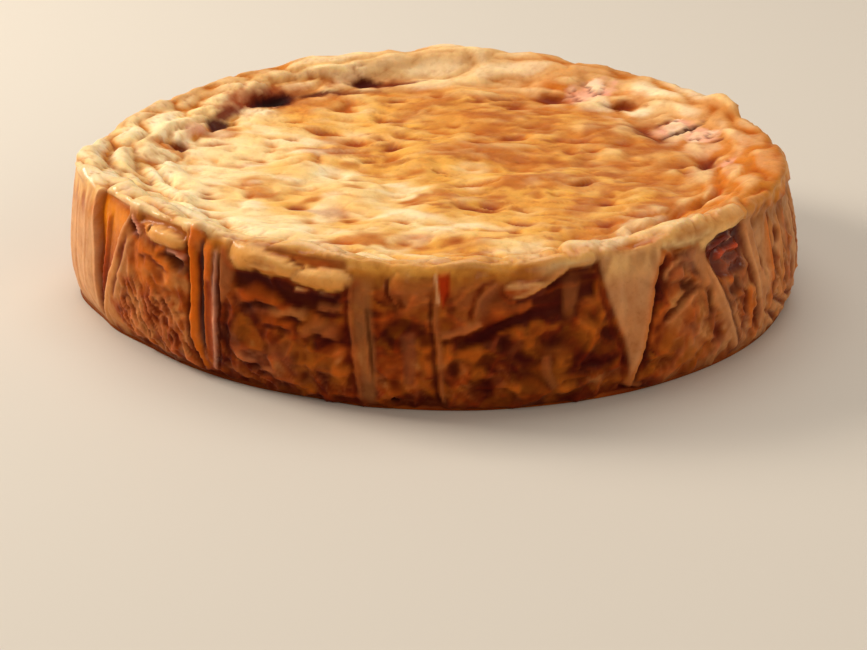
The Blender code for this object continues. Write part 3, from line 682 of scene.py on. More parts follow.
def fold_front(skin):
    """Hanging lobes, the pale strip, the bright slot and the dark creases of the front."""
    # Two puffed lobes under a shaded recess, each with a fold of its own
    skin.ridge([(237.2, 43.2), (241, 45.6), (246, 45.6), (250, 44.2), (254, 43.0), (257.6, 42.2)], 4.4,
               -1.2, "gold_edge", 0.9, 0.7)
    skin.ridge([(246.5, 44.2), (250, 43.6), (253.5, 42.4), (257.0, 41.4)], 2.0, -0.4, "orange", 0.6, 0.7,
               ends=0.3)
    skin.lobe(244.2, 41.4, 25, 7.6, 2.8, "lobe", "crease", slope=-0.12, point=0.45)
    skin.lobe(253.6, 38.8, 19, 5.8, 2.4, "lobe", "crease", slope=0.04, point=-0.25)
    skin.flap([(247.6, 39.6), (244.4, 40.2), (241.4, 38.8)], 1, 2.4, 0.6, "lobe", 0.6, edge="pale",
              shade="ochre", ends=0.3)
    skin.ridge([(248.6, 43.4), (250.0, 41.8), (251.0, 41.0)], 1.3, -0.9, "red_brown", 0.6)
    for degrees, z, wide, tall in ((250.6, 35.0, 5.0, 1.8), (254.4, 34.6, 5.6, 1.8)):
        skin.lobe(degrees, z, wide, tall, 0.9, "dusk", "rust")
    # Dark band under them and slanting folds below it
    skin.ridge([(238.5, 35), (243, 34.0), (250, 31.6), (257, 31.4)], 6.5, -0.8, "maroon", 0.85)
    for line, wide, tall, colour in FRONT_FOLDS:
        skin.flap(line, -1, wide, tall, colour, 0.6, edge=None, ends=0.25)
    skin.patch(247, 14, 12, 8, 0.4, "mauve", 0.5, soft=0.8)
    skin.patch(242.3, 7.6, 4.4, 2.6, -0.8, "maroon", 0.8, soft=0.8)
    skin.patch(240.2, 20, 4.5, 8, 0.3, "marble", 0.6, soft=0.8)
    skin.patch(250.4, 14, 4, 12, 0.3, "marble", 0.7, soft=0.8)
    # Pale strip down the side with a dark line in it
    strip = skin.panel([(2, 259.3), (14, 258.6), (30, 258.2), (44, 258.0)],
                       [(2, 262.0), (14, 262.2), (30, 262.0), (44, 261.8)], 2.2)
    skin.level(strip)
    skin.push(strip, 0.5)
    skin.paint(strip * (1 - smooth(36, 43, skin.z)), "drab", 0.6)
    skin.flap([(259.3, 1), (258.5, 14), (258.2, 28), (257.9, 40)], 1, 4.4, [0.7, 0.9, 1.0, 0.6],
              edge="dusk", shade="rust", ends=0.06)
    skin.ridge([(260.9, 36), (260.8, 26), (261.0, 6)], 1.4, -0.3, "olive", 0.35, ends=0.3)
    # Rounded lobes between the strip and the slot, with a dark arch and a pale streak beneath
    skin.patch(266.2, 36.6, 11, 9, 0.9, "dusk", 0.4, soft=0.8)
    skin.ridge([(263.2, 40), (263.4, 36), (264.2, 33.4)], 1.2, -0.7, "brown", 0.5)
    skin.ridge([(263.2, 20), (263.8, 25), (266.0, 27.6), (268.2, 26), (269.0, 20)], 3.4, -0.6, "maroon", 0.5)
    skin.ridge([(266.4, 25), (266.8, 17), (266.6, 8)], [3.8, 4.2, 3.0], 0.7, "mauve", 0.6)
    skin.patch(264.0, 14, 4, 9, 0.2, "amber", 0.5, soft=0.8)
    skin.patch(264.6, 9, 4, 5, -0.5, "rust", 0.6, soft=0.8)
    # A tiny hole near the foot, painted near black: painted shade inside it
    skin.patch(264.5, 2.9, 2.6, 2.2, -1.6, "char", 0.95)
    # Bright orange slot and the fold line under it
    skin.flap([(272.0, 1.5), (271.4, 6), (270.6, 16), (270.2, 28), (270.2, 36)], 1, 2.4,
              [0.8, 0.9, 0.9, 0.5], "dusk", 0.4, edge="dusk", ends=0.06)
    slot = skin.panel([(32, 271.3), (36, 270.9), (41.5, 270.5)], [(32, 271.8), (36, 272.7), (41.5, 272.9)],
                      0.9)
    skin.push(slot, -1.2)
    skin.paint(slot, "flame", 0.95)
    skin.patch(272.6, 33.0, 2.4, 6.0, 0.0, "rust", 0.8, soft=0.8)
    skin.polish(slot, 0.5)
    # Pale pink line on the thin fold left of the slot: a painted highlight
    skin.ridge([(270.3, 42.2), (270.5, 38), (270.9, 33.0)], 1.0, 0.9, "peach", 0.8, 0.8)
    # Brown lobe with a curved edge, and the flap line that rises to the right
    skin.patch(274.8, 34, 7, 9, 0.6, "dusk", 0.4, soft=0.8)
    skin.flap([(276.0, 26.5), (275.8, 30), (276.3, 34.5), (277.6, 37.6), (280.0, 38.8)], 1, 5.5, 0.9,
              "mauve", 0.6, edge="dusk", shade="brown", ends=0.25)
    skin.flap([(270.8, 23.0), (273, 23.6), (275.5, 25.2), (277.4, 27.2)], -1, 3.4, 1.2, "dusk", edge="dusk")
    skin.ridge([(272.5, 20.5), (276, 22.6), (279.5, 26), (284, 29.0), (292, 31.6)], [2.4, 4.2, 6.0, 5.5],
               -1.4, "maroon", 0.95)
    skin.lobe(283.5, 36.2, 13, 6.0, 0.9, "amber", "brown")
    skin.flap([(281.6, 33.8), (284.6, 35.6), (287.4, 37.8), (288.4, 39.6), (290.4, 41.4), (295.0, 42.2)], -1,
              [2.6, 3.4, 4.2], [1.3, 1.9, 1.4], "gold_dark", 0.5, edge="gold_dark", ends=0.06)
    skin.ridge([(284, 32.4), (288, 33.6), (294.5, 35.0)], 4.4, -0.9, "maroon", 0.9)
    skin.ridge([(290.8, 41), (290.4, 34), (289.6, 25)], [6.0, 4.0, 2.4], 0.6, "dusk", 0.55, ends=0.4)
    for place in FRONT_HOLLOWS:
        skin.patch(*place, -0.9, "maroon", 0.85, soft=0.9)
    for place in FRONT_MARBLING:
        skin.patch(*place, 0.6, "marble", 0.85, soft=0.9)
    skin.ridge([(286.6, 17), (286.8, 11), (288.0, 6)], 3.0, 0.8, "dusk", 0.5)


# Strips at the right end: angle at the foot, z of the top, lean in degrees, colour
RIGHT_STRIPS = ((333.0, 41, 1.6, "orange"), (337.5, 38, 2.4, "tan"), (341.5, 42, 1.0, "dusk"),
                (346.0, 39, 1.8, "peach"), (350.5, 43, 0.6, "tan"), (355.0, 40, 1.2, "peach"))
# Hollows between them: angle, z, width and height in mm
RIGHT_HOLLOWS = ((336.4, 31, 4, 5), (335.0, 24, 4, 7), (339.0, 16, 6, 7), (333.4, 16.5, 4, 5),
                 (342.5, 27, 3, 8), (327.5, 12, 4, 7), (335.0, 37, 3, 4), (344, 14, 4, 6),
                 (349, 24, 3, 9))
# Creases across the feet of the strips
RIGHT_CREASES = ([(337.5, 1), (333, 6), (329.5, 11)], [(356, 1.5), (350, 3), (343, 6), (337.5, 11)],
                 [(343, 2.5), (338, 6.5), (333, 12)])


def fold_right_pleats(skin):
    """The long pale flap, the slanting straps and the glossy red hollow at the right."""
    flap = skin.panel([(3, 299.4), (10, 299.0), (18, 298.2), (24, 297.3), (30, 296.2), (36, 295.5),
                       (43, 295.0)],
                      [(3, 300.0), (10, 301.3), (20, 302.8), (30, 304.0), (36, 305.2), (43, 307.0)], 2.2)
    skin.paint(flap, "chamois", 0.9)
    skin.paint(flap * smooth(14, 34, skin.z), "peach", 0.35)
    skin.paint(flap * smooth(33, 41, skin.z), "pale", 0.75)
    ring = skin.ring_place(skin.z)
    skin.level(flap, 0.9)
    skin.push(flap, 0.9 + 0.6 * noise(ring, (4.5, 4.5, 34), 221))
    skin.paint(flap * smooth(0.0, 0.6, noise(ring, (4, 4, 12), 222)), "peach", 0.4)
    skin.paint(flap * smooth(0.1, 0.6, noise(ring, (5, 5, 14), 223)), "mauve", 0.5)
    skin.flap([(299.6, 1.5), (299.0, 10), (298.2, 18), (297.3, 24), (296.2, 30), (295.4, 37)], 1, 5.0,
              [0.5, 0.9, 0.4], edge=None, shade="rust", ends=0.06)
    skin.flap([(300.2, 1.5), (301.3, 10), (302.8, 20), (304.0, 30), (305.4, 36), (307.0, 41)], -1, 6.0,
              [0.8, 1.7, 1.9, 1.4], edge="tan", ends=0.06)
    skin.flap([(298.6, 3.6), (300.4, 2.4), (302.4, 1.0)], -1, 2.6, 0.8, "dusk", 0.6, edge="dusk")
    skin.patch(306.2, 33.5, 5, 7, -1.3, "maroon", 0.75, soft=0.8)
    skin.patch(308.4, 34.2, 8, 6.5, 1.4, "mauve", 0.7)
    skin.flap([(306.6, 31.6), (306.4, 34.6), (307.8, 37.0), (310.0, 37.8)], 1, 4.0, 0.9, edge="chamois",
              shade="rust", ends=0.2)
    skin.patch(311.6, 36.0, 8, 7, 0.5, "ash", 0.6)
    skin.patch(310.4, 30.0, 6, 5, -1.1, "ash_dark", 0.8, soft=0.8)
    skin.patch(310.8, 30.6, 1.8, 1.6, 0.5, "chamois", 0.5)
    # A tent of two thin folds, orange on its lit side
    skin.flap([(305.6, 19.5), (308.2, 22.4), (311.0, 26.4), (313.0, 27.4)], 1, 4.5, 1.3, "tan", 0.4,
              edge="chamois", ends=0.12)
    skin.patch(310.5, 20.5, 6, 7, 0.2, "amber", 0.6, soft=0.8)
    skin.ridge([(312.8, 27.5), (314.0, 23.6), (315.4, 18), (316.4, 12)], [3.4, 2.6, 1.8], [1.4, 1.2, 0.6],
               "dusk", 0.8)
    skin.patch(314.6, 29.5, 4, 6, 0.6, "tan", 0.6, soft=0.8)
    # Strap that runs from the lobe above down to the foot
    skin.ridge([(311.8, 40), (313.8, 34.5), (315.8, 29), (317.6, 22), (319.2, 15), (321.0, 9), (323.2, 3)],
               [6.4, 5.6, 4.6, 4.8, 4.6], [0.9, 0.9, 0.8, 0.6], "chamois", 0.75, round_top=False)
    skin.flap([(323.4, 2.5), (321.4, 9), (319.8, 15), (318.4, 22), (316.8, 29), (315.0, 34.5)], -1, 4.0,
              [0.7, 1.0, 1.0], ends=0.08)
    skin.patch(315.2, 22, 3.6, 9, -1.2, "maroon", 0.8, soft=0.8)
    skin.patch(317.0, 12, 4.6, 8, -1.0, "rust", 0.8, soft=0.8)
    skin.patch(311.5, 8, 6, 5, 0.3, "marble", 0.7, soft=0.8)
    skin.patch(306.5, 12, 6, 9, 0.2, "marble", 0.6, soft=0.8)
    skin.ridge([(319.6, 31), (320.8, 26), (322.6, 20.5)], 2.6, 0.7, "orange", 0.6)
    skin.patch(321.8, 24, 6, 7, -1.1, "ash_dark", 0.8, soft=0.8)
    skin.patch(324.0, 14, 4.0, 12, -0.7, "rust", 0.7, soft=0.8)
    skin.ridge([(325.6, 22), (325.4, 14), (326.2, 7)], [2.4, 3.0, 2.2], 0.8, "orange", 0.5)
    # Glossy red hollow under pale lobes
    hollow = skin.panel([(27.5, 318.0), (34, 316.0), (38, 314.8), (42, 317.0)],
                        [(27.5, 325.4), (34, 325.6), (38, 325.4), (43, 324.2)], 2.0)
    skin.push(hollow, -1.8)
    skin.paint(hollow, "rust", 0.9)
    skin.paint(hollow * smooth(34, 38, skin.bent_z), "maroon", 0.7)
    skin.polish(hollow, 0.9)
    skin.ridge([(315.4, 37.4), (318.5, 38.0), (322, 38.8)], 1.6, 1.0, "rust", 0.7, 0.95)
    skin.ridge([(318.0, 34.4), (321, 35.2), (324, 34.6)], 2.0, 0.9, "flame", 0.35, 0.95)
    skin.patch(322.0, 38.4, 2.6, 2.2, 0.8, "blush", 0.6)
    skin.patch(320.5, 30.5, 6, 5, 0.6, "mauve", 0.7, soft=0.8)
    skin.ridge([(313.4, 39.4), (316.4, 41.2), (320, 43.4), (325, 44.4)], [2.6, 4.4, 5.2, 5.0],
               [1.2, 1.8, 2.0, 1.6], "pale", 0.85)
    # Pale drape that runs to the foot
    skin.ridge([(326.2, 43), (327.2, 36), (327.8, 29), (328.8, 21), (329.6, 12), (330.6, 5)],
               [7.0, 6.0, 4.6, 4.2, 3.4], [0.8, 0.9, 0.8, 0.6], "chamois", 0.8, round_top=False)
    skin.flap([(329.4, 5), (328.2, 12), (327.4, 21), (326.4, 29), (325.6, 38)], 1, 4.0, [0.7, 1.1, 1.2],
              shade="rust", ends=0.06)
    skin.patch(329.6, 26.5, 3.4, 4.4, -0.8, "brown", 0.7)
    # Strips and diagonal creases towards the right end
    for foot, top, lean, colour in RIGHT_STRIPS:
        line = [(foot, 8), (foot + 0.2 * lean, 18), (foot + 0.4 * lean, 28), (foot + lean, top)]
        skin.flap(line, -1, 5.0, 1.0, colour, 0.5, edge=colour, shade="rust", ends=0.2)
    for place in RIGHT_HOLLOWS:
        skin.patch(*place, -1.1, "rust", 0.75, soft=0.8)
    for line in RIGHT_CREASES:
        skin.flap(line, -1, 3.4, 1.2, "tan", 0.6, shade="rust", ends=0.2)


def fold_far_side(skin):
    """Pleats of the same kinds, placed by chance, round the half that is turned away."""
    pick = np.random.default_rng(5)
    angle = 0.0
    while angle < 178:
        lean = pick.uniform(-2.5, 2.5)
        top = pick.uniform(33, 42)
        foot = pick.uniform(2, 12)
        bow = pick.uniform(-0.9, 0.9)
        line = [(angle + lean * k / 4 + bow * math.sin(k * math.pi / 4), foot + (top - foot) * k / 4)
                for k in range(5)]
        hand = pick.choice([-1, 1])
        kind = pick.integers(0, 4)
        if kind == 0:
            skin.flap(line, hand, pick.uniform(5, 9), pick.uniform(1.0, 1.7), "chamois")
        elif kind == 1:
            skin.flap(line, hand, pick.uniform(3, 6), pick.uniform(1.0, 1.6), "orange", 0.5, edge="orange")
        elif kind == 2:
            skin.ridge(line, [1.6, 3.0, pick.uniform(3.0, 5.5)], -pick.uniform(1.4, 2.4), "rust", 0.8, 0.8)
            beside = [(degrees - 1.6 * hand, z) for degrees, z in line]
            skin.flap(beside, -hand, 3.0, 1.0, edge="orange", shade=None)
        else:
            skin.flap(line, hand, pick.uniform(6, 10), pick.uniform(0.9, 1.5), "mauve", 0.7, edge="tan")
        for _ in range(4):
            skin.patch(angle + pick.uniform(2, 8), pick.uniform(5, 34), pick.uniform(4, 9),
                       pick.uniform(3, 8), pick.uniform(-1.1, 0.4),
                       pick.choice(["rust", "maroon", "amber", "marble"]), 0.7, soft=0.85)
        angle += pick.uniform(6, 13)


# Creases in the top: angle in degrees, radius, half-length round the rim, width and depth in mm
TOP_CREASES = ((127, 88, 9, 5, 1.4), (116, 84, 8, 5, 0.8), (103, 96, 7, 5, 1.6), (150, 83, 5, 5, 1.6),
               (142, 87, 5, 4, 1.4), (168, 86, 3, 6, 2.4), (60, 88, 7, 5, 1.4), (45, 91, 5, 5, 1.4),
               (27, 82, 9, 5, 1.4), (2, 89, 5, 5, 2.0), (196, 84, 8, 4, 1.6), (322, 90, 10, 4, 2.2),
               (303, 95, 9, 3, 1.2), (337, 93, 7, 4, 2.4))
# Puffed folds of the rim: angle, radius, half-length round the rim, width and height in mm
RIM_FOLDS = ((118, 104, 14, 9, 1.8), (132, 98, 8, 7, 2.4), (146, 94, 8, 7, 2.4), (160, 90, 5, 6, 2.0),
             (172, 95, 7, 9, 1.6), (186, 98, 7, 7, 1.2), (206, 100, 10, 8, 1.4), (222, 108, 7, 7, 0.6),
             (245, 108, 7, 8, 0.6), (285, 104, 14, 8, 0.6), (302, 104, 12, 12, 2.2), (319, 109, 6, 8, 2.4),
             (332, 106, 8, 9, 1.6), (350, 101, 8, 8, 1.4), (9, 100, 7, 7, 1.4), (38, 99, 9, 9, 1.2),
             (25.5, 110.5, 4.5, 6, 2.6), (63, 97, 5, 8, 1.8), (76, 98, 7, 8, 1.4), (88, 106, 10, 7, 1.4))


def rim_patch(degrees, radius, at_degrees, at_mm, half_deg, width_mm):
    """1 on a fold that lies along the rim at an angle and radius, easing to 0 at its ends and sides."""
    turn = turn_from(degrees, at_degrees)
    return np.exp(-(turn / half_deg) ** 4 - ((radius - at_mm) / (width_mm / 2)) ** 2)


def push_folds(skin, radius, folds, hand):
    """Pushes folds of the top out of it where hand is 1, and into it where hand is -1."""
    for at_degrees, at_mm, half_deg, width, height in folds:
        place = rim_patch(skin.degrees, radius, at_degrees, at_mm, half_deg, width)
        skin.push(place * skin.top, hand * height)


def shape_top(skin):
    """Folds, creases, wrinkles and dimples of the top."""
    flat = np.stack([skin.x, skin.y, 0 * skin.x], axis=1)
    wandering = skin.r + 2.4 * noise(flat, 12, 301)
    push_folds(skin, wandering, TOP_CREASES, -1)
    push_folds(skin, wandering, RIM_FOLDS, 1)
    rim = smooth(76, 89, skin.r) * skin.top
    skin.push(rim, 1.2 * noise(flat, 17, 302))
    # Puffed wrinkles that run along the rim and wind slowly inwards, with sharp creases between them
    inwards = 0.17 * np.radians(turn_from(skin.degrees, 212)) * 100
    grain = shifted(skin.ring_place(skin.r + inwards * skin.between(165, 185, 245, 270)), 2.0, 12, 303)
    pillow = np.sqrt(np.abs(noise(grain, (24, 24, 8.2), 304)) + 0.01)
    finer = np.sqrt(np.abs(noise(grain, (9, 9, 3.4), 305)) + 0.01)
    strength = skin.around({0: 0.4, 40: 0.35, 90: 0.3, 130: 0.45, 160: 0.7, 190: 1.1, 215: 1.25,
                            240: 0.9, 265: 0.5, 300: 0.35, 330: 0.5})
    skin.push(rim * strength, 4.4 * (pillow - 0.45) + 1.0 * (finer - 0.45))
    front = skin.between(245, 262, 318, 330)
    skin.push(rim * front, 1.3 * (finer - 0.45))
    # The sunken middle: a tight skin with shallow dimples and short wrinkles
    middle = (1 - smooth(80, 90, skin.r)) * skin.top
    skin.push(middle, 1.5 * noise(flat, 20, 306))
    wound = shifted(flat, 2.6, 11, 307)
    ripple = np.sqrt(np.abs(noise(wound, (20, 11, 3), 308)) + 0.03)
    skin.push(middle, 0.9 * (ripple - 0.45))
    nearest, _, chance = cells(wound, (15, 8.5, 5), 312)
    dimple = (1 - smooth(0.0, 0.55, nearest)) * smooth(-0.5, 0.3, chance) * middle
    nearest, _, chance = cells(wound + 40, (10, 5.5, 4), 313)
    speck = (1 - smooth(0.0, 0.5, nearest)) * smooth(-0.5, 0.2, chance) * middle
    skin.push(dimple, -1.6)
    skin.push(speck, -0.8)
    creased = (1 - smooth(0.14, 0.42, pillow)) * rim * np.clip(strength, 0, 1)
    fine_crease = 0.6 * (1 - smooth(0.12, 0.36, finer)) * rim * np.clip(strength + 0.5 * front, 0, 1)
    puffed = smooth(0.50, 0.72, pillow) * rim
    sunken = np.clip(dimple + 0.6 * speck + 0.3 * (1 - smooth(0.15, 0.36, ripple)) * middle, 0, 1)
    return flat, sunken, np.maximum(creased, fine_crease), puffed


# Browned places of the sunken middle: angle, radius, width and depth across in mm, amount
BROWNED_SPOTS = ((52, 57, 17, 11, 0.8), (64, 47, 12, 8, 0.7), (20, 68, 16, 9, 0.85), (10, 50, 12, 8, 0.75),
                 (38, 56, 9, 7, 0.6), (85, 70, 16, 10, 0.6), (93, 66, 9, 8, 0.6), (275.5, 73, 7, 6, 1.2),
                 (290, 72, 8, 5, 0.5), (282, 24, 10, 7, 0.5), (276, 40, 7, 7, 0.4), (306, 33, 9, 6, 0.5),
                 (320, 62, 9, 6, 0.7), (345, 72, 12, 8, 0.8), (336, 60, 8, 6, 0.7), (0, 76, 12, 9, 0.8),
                 (70, 60, 10, 7, 0.6), (118, 78, 14, 10, 0.6), (100, 60, 11, 8, 0.45), (30, 78, 10, 8, 0.8))
# Places on the rim: angle, radius, width, depth across and push in mm, colour, amount, gloss, softness
# of the edge, tilt. First the burnt crease at the back left, with browned skin round it and a reddish
# fold down to its left, then the skin under the torn places at the back right and the right.
RIM_SPOTS = ((120, 84, 34, 20, 0, "toast", 0.8, None, 0.9, 0),
             (127, 91, 30, 15, 0, "stain", 0.85, None, 0.8, 0),
             (131, 95, 24, 5.5, 1.1, "red_brown", 0.9, None, 0.6, 0),
             (128.5, 90.4, 24, 10, 0, "rust", 0.8, None, 0.6, 0),
             (128.5, 90.0, 17, 8, -1.6, "maroon", 1.0, 0.3, 0.4, 0),
             (128, 90.2, 13, 5.5, -0.4, "char", 1.0, 0.3, 0.4, 0),
             (117, 88.4, 17, 4.5, -0.8, "maroon", 0.9, 0.25, 0.6, -8),
             (110, 86.6, 18, 4.5, -0.3, "rust", 0.75, None, 0.8, -6),
             # A small pale pink spot in the burnt crease: a painted highlight
             (129.8, 87.8, 4, 2.6, 0.6, "blush", 0.9, 0.95, 0.4, 0),
             (139, 92, 16, 5.5, 0.7, "red_brown", 0.85, None, 0.7, 14),
             (144, 88.0, 15, 5, -0.9, "rust", 0.95, None, 0.6, 10),
             (149.5, 84.8, 11, 6, -1.3, "maroon", 0.97, 0.3, 0.45, 0),
             (158, 86.5, 13, 6, 1.1, "blush", 0.75, 0.8, 0.6, 10),
             (167.5, 86.5, 4, 10, -1.8, "rust", 0.95, None, 0.6, 12),
             (171, 90.5, 9, 9, 0.3, "amber_top", 0.9, None, 0.8, 0),
             (102, 94, 32, 8, 0, "stain", 0.85, None, 0.8, 0),
             (105, 94.6, 15, 5.5, -1.1, "maroon", 0.97, 0.25, 0.4, 0),
             (97, 92.8, 20, 3.6, -0.7, "rust", 0.9, None, 0.6, 0),
             (62, 92, 14, 12, 0.3, "amber_top", 0.85, None, 0.7, 0),
             (61, 88, 14, 5, -0.8, "rust", 0.8, None, 0.7, 0),
             (46, 95, 14, 9, 0.2, "amber_top", 0.85, None, 0.7, 0),
             (45.5, 91, 12, 5, -0.9, "rust", 0.85, None, 0.7, 25),
             (26, 81, 18, 8, -0.6, "rust", 0.75, None, 0.85, 0),
             (2, 89, 10, 7, -1.0, "rust", 0.85, None, 0.8, 0))
# Where the skin has lifted in flakes: angle, radius, width and depth across in mm
TORN_PLACES = ((54.5, 94, 12, 16), (26.5, 90, 9, 14), (17.5, 93.5, 17, 9), (357.5, 94.5, 5, 6))
# Slits at the torn places, and the mouth of the open fold at the left front, in the order of RIM_SPOTS
SLITS = ((22.8, 91, 2.8, 13, -1.8, "maroon", 0.95, 0.3, 0.45, 0),
         (29.8, 89.5, 2.0, 8, -0.9, "rust", 0.85, None, 0.5, 0),
         (11.8, 95.5, 2.4, 5, -1.2, "rust", 0.9, None, 0.5, 0),
         (211.5, 112.6, 9, 8, -1.6, "lining", 0.7, 0.85, 0.6, 0))


def paint_middle(skin, flat, dimple):
    """Cream and gold with soft brown stains that gather in the dimples."""
    top = skin.top
    skin.paint(top, "gold")
    # Paler towards the front left: partly a painted sheen, partly paler skin
    to_front_left = (-0.85 * skin.x - 0.40 * skin.y) / 80
    browner_front = 0.16 * smooth(-50, -80, skin.y)
    tone = 0.48 - 0.50 * to_front_left + browner_front + 0.42 * layered_noise(flat, 30, 321, 3)
    skin.paint(top * (1 - smooth(0.10, 0.55, tone)), "cream", 0.9)
    skin.paint(top * (1 - smooth(-0.1, 0.35, tone)), "froth", 0.4)
    skin.paint(top * smooth(0.46, 0.90, tone), "toast", 0.8)
    broad = layered_noise(flat, 15, 333, 2)
    stain = layered_noise(shifted(flat, 2, 9, 330), (17, 9, 8), 331, 2)
    middle = 1 - smooth(84, 96, skin.r)
    share = np.clip(0.38 + 0.75 * (tone - 0.35) + 0.8 * broad, 0.05, 1)
    stained = smooth(0.26 - 0.5 * share, 0.74 - 0.5 * share, stain + 0.25 * dimple) * middle * top
    skin.paint(stained, "toast", 0.85)
    skin.paint(stained * smooth(0.4, 0.75, share), "stain", 0.6)
    skin.paint(dimple * top * (0.35 + 0.6 * share), "toast", 0.9)
    skin.paint(dimple * top * smooth(0.1, 0.6, share) * smooth(0.2, 0.8, dimple), "stain", 0.9)
    skin.paint(dimple * top * smooth(0.3, 0.7, share) * smooth(0.4, 1.0, dimple), "spot", 0.75)
    streaked = smooth(0.10, 0.45, layered_noise(shifted(flat, 1.5, 7, 336), (9, 4.5, 5), 335, 2))
    skin.paint(streaked * top * middle * smooth(0.42, 0.62, tone), "stain", 0.7)
    light = smooth(0.05, 0.50, layered_noise(flat, (17, 9, 6), 334, 2)) * middle * top * (1 - dimple)
    skin.paint(light, "froth", 0.10 + 0.45 * (1 - smooth(0.2, 0.6, tone)))
    skin.paint(light * smooth(0.4, 0.7, tone), "gold", 0.4)
    for degrees, radius, wide, tall, amount in BROWNED_SPOTS:
        skin.spot(degrees, radius, wide, tall, -0.45, "stain", amount * 0.8, soft=0.85)
    return middle


def paint_rim(skin, creased, puffed):
    """Pale and shiny at the left front with painted highlights on its puffs, buff behind and orange at the
    right.
    """
    top = skin.top
    rim = smooth(82, 94, skin.r) * top
    skin.paint(rim * skin.around({0: 0.9, 30: 0.4, 55: 0.3, 110: 0.2, 180: 0, 285: 0, 305: 0.25,
                                  320: 0.5, 335: 0.95, 345: 1.0}), "amber_top", 0.85)
    skin.paint(rim * skin.around({0: 0, 25: 0.4, 40: 0.9, 60: 0.5, 90: 1.0, 125: 0.55, 160: 0.3,
                                  185: 0.1, 200: 0, 300: 0}), "buff", 0.9)
    skin.paint(rim * skin.around({165: 0, 185: 0.75, 225: 0.7, 250: 0.3, 280: 0.1, 300: 0.3, 312: 0.5,
                                  326: 0}), "cream", 0.8)
    # Painted highlight on the tops of the puffs, strongest at the left where the key light falls, partly the
    # pale skin itself
    bright = skin.around({0: 0.2, 40: 0.6, 90: 0.3, 130: 0.35, 165: 0.7, 185: 1.0, 225: 1.0, 250: 0.6,
                          280: 0.4, 300: 0.5, 318: 0.4, 335: 0.1})
    skin.paint(puffed * top * bright, "froth", 0.95)
    # Browner towards the outer edge, where the skin turns down
    outer = smooth(9.0, 9.8, skin.station) * (1 - smooth(10.4, 12.0, skin.station))
    skin.paint(outer * skin.around({0: 0.5, 50: 0.2, 100: 0.0, 180: 0.1, 200: 0.25, 240: 0.35, 260: 0.5,
                                    280: 0.4, 290: 0.0, 320: 0.0, 332: 0.5}), "crease", 0.8)
    skin.paint(outer * skin.around({110: 0, 125: 0.5, 150: 0.5, 168: 0}), "crease", 0.9)
    skin.paint(creased * top, "crease", 0.9)
    skin.paint(creased * top * skin.around({0: 0.9, 60: 0.7, 120: 0.8, 175: 0.6, 195: 0.4, 250: 0.3,
                                            300: 0.3, 330: 0.8}), "stain", 0.6)
    return rim


def tear_flakes(skin, flat):
    """Pink places where the skin has lifted in flakes, with brown cracks between them."""
    shard = shifted(flat, 1.0, 3.5, 342)
    _, gap, chance = cells(shard, (6.5, 8.0, 5.2), 341)
    for place in TORN_PLACES:
        torn = skin.spot(*place, 0.4, soft=0.35)
        skin.out -= torn * 0.5 * skin.out
        skin.paint(torn, "blush", 0.92)
        skin.paint(torn * smooth(0.0, 0.8, chance), "froth", 0.45)
        crack = (1 - smooth(0.01, 0.09, gap)) * torn
        skin.push(torn, 0.45 * chance)
        skin.push(crack, -0.7)
        skin.paint(crack, "rust", 0.75)
        skin.polish(torn, 0.45)


def paint_top(skin, flat, dimple, creased, puffed):
    """Colours of the top: the sunken middle, the rim, and the burnt and torn places between them."""
    middle = paint_middle(skin, flat, dimple)
    rim = paint_rim(skin, creased, puffed)
    # The burnt creases lie in calmer skin
    for degrees, radius, wide, tall in ((130, 91, 52, 15), (104, 94, 34, 10)):
        skin.out *= 1 - 0.6 * skin.spot(degrees, radius, wide, tall, soft=0.4)
    for place in RIM_SPOTS:
        skin.spot(*place)
    tear_flakes(skin, flat)
    for place in SLITS:
        skin.spot(*place)
    skin.polish(skin.top * skin.between(165, 190, 318, 332) * rim, 0.85)
    skin.polish(skin.top * middle, 0.58)


def blur_rows(table, reach, times):
    """A table of closed rows, averaged with its neighbours along and across the rows."""
    for _ in range(times):
        along = sum(np.roll(table, k, axis=1) for k in range(-reach, reach + 1)) / (2 * reach + 1)
        padded = np.pad(along, ((reach, reach), (0, 0)), mode="edge")
        table = sum(padded[k:k + len(along)] for k in range(2 * reach + 1)) / (2 * reach + 1)
    return table


def relief_of(skin, rows):
    """How far each point stands out from its near surroundings and from its wider ones, in mm."""
    near, wide = np.zeros(len(skin.out)), np.zeros(len(skin.out))
    for count in sorted({len(row) for row in rows if len(row) > 100}):
        same = [row for row in rows if len(row) == count]
        depth = np.stack([skin.out[row] for row in same])
        soft = blur_rows(depth, 1, 2)
        softer = blur_rows(soft, 3, 2)
        index = np.concatenate(same)
        near[index] = (depth - soft).ravel()
        wide[index] = (soft - softer).ravel()
    return near, wide


# How strongly the painted shade darkens red, green and blue in a hollow of the side and of the top, and how
# strongly the painted highlight lightens them on a ridge
SHADE_IN_HOLLOW_OF_SIDE = np.array([0.70, 1.05, 1.2])
SHADE_IN_HOLLOW_OF_TOP = np.array([0.36, 0.80, 1.20])
HIGHLIGHT_ON_RIDGE_OF_SIDE = np.array([0.85, 0.60, 0.42])


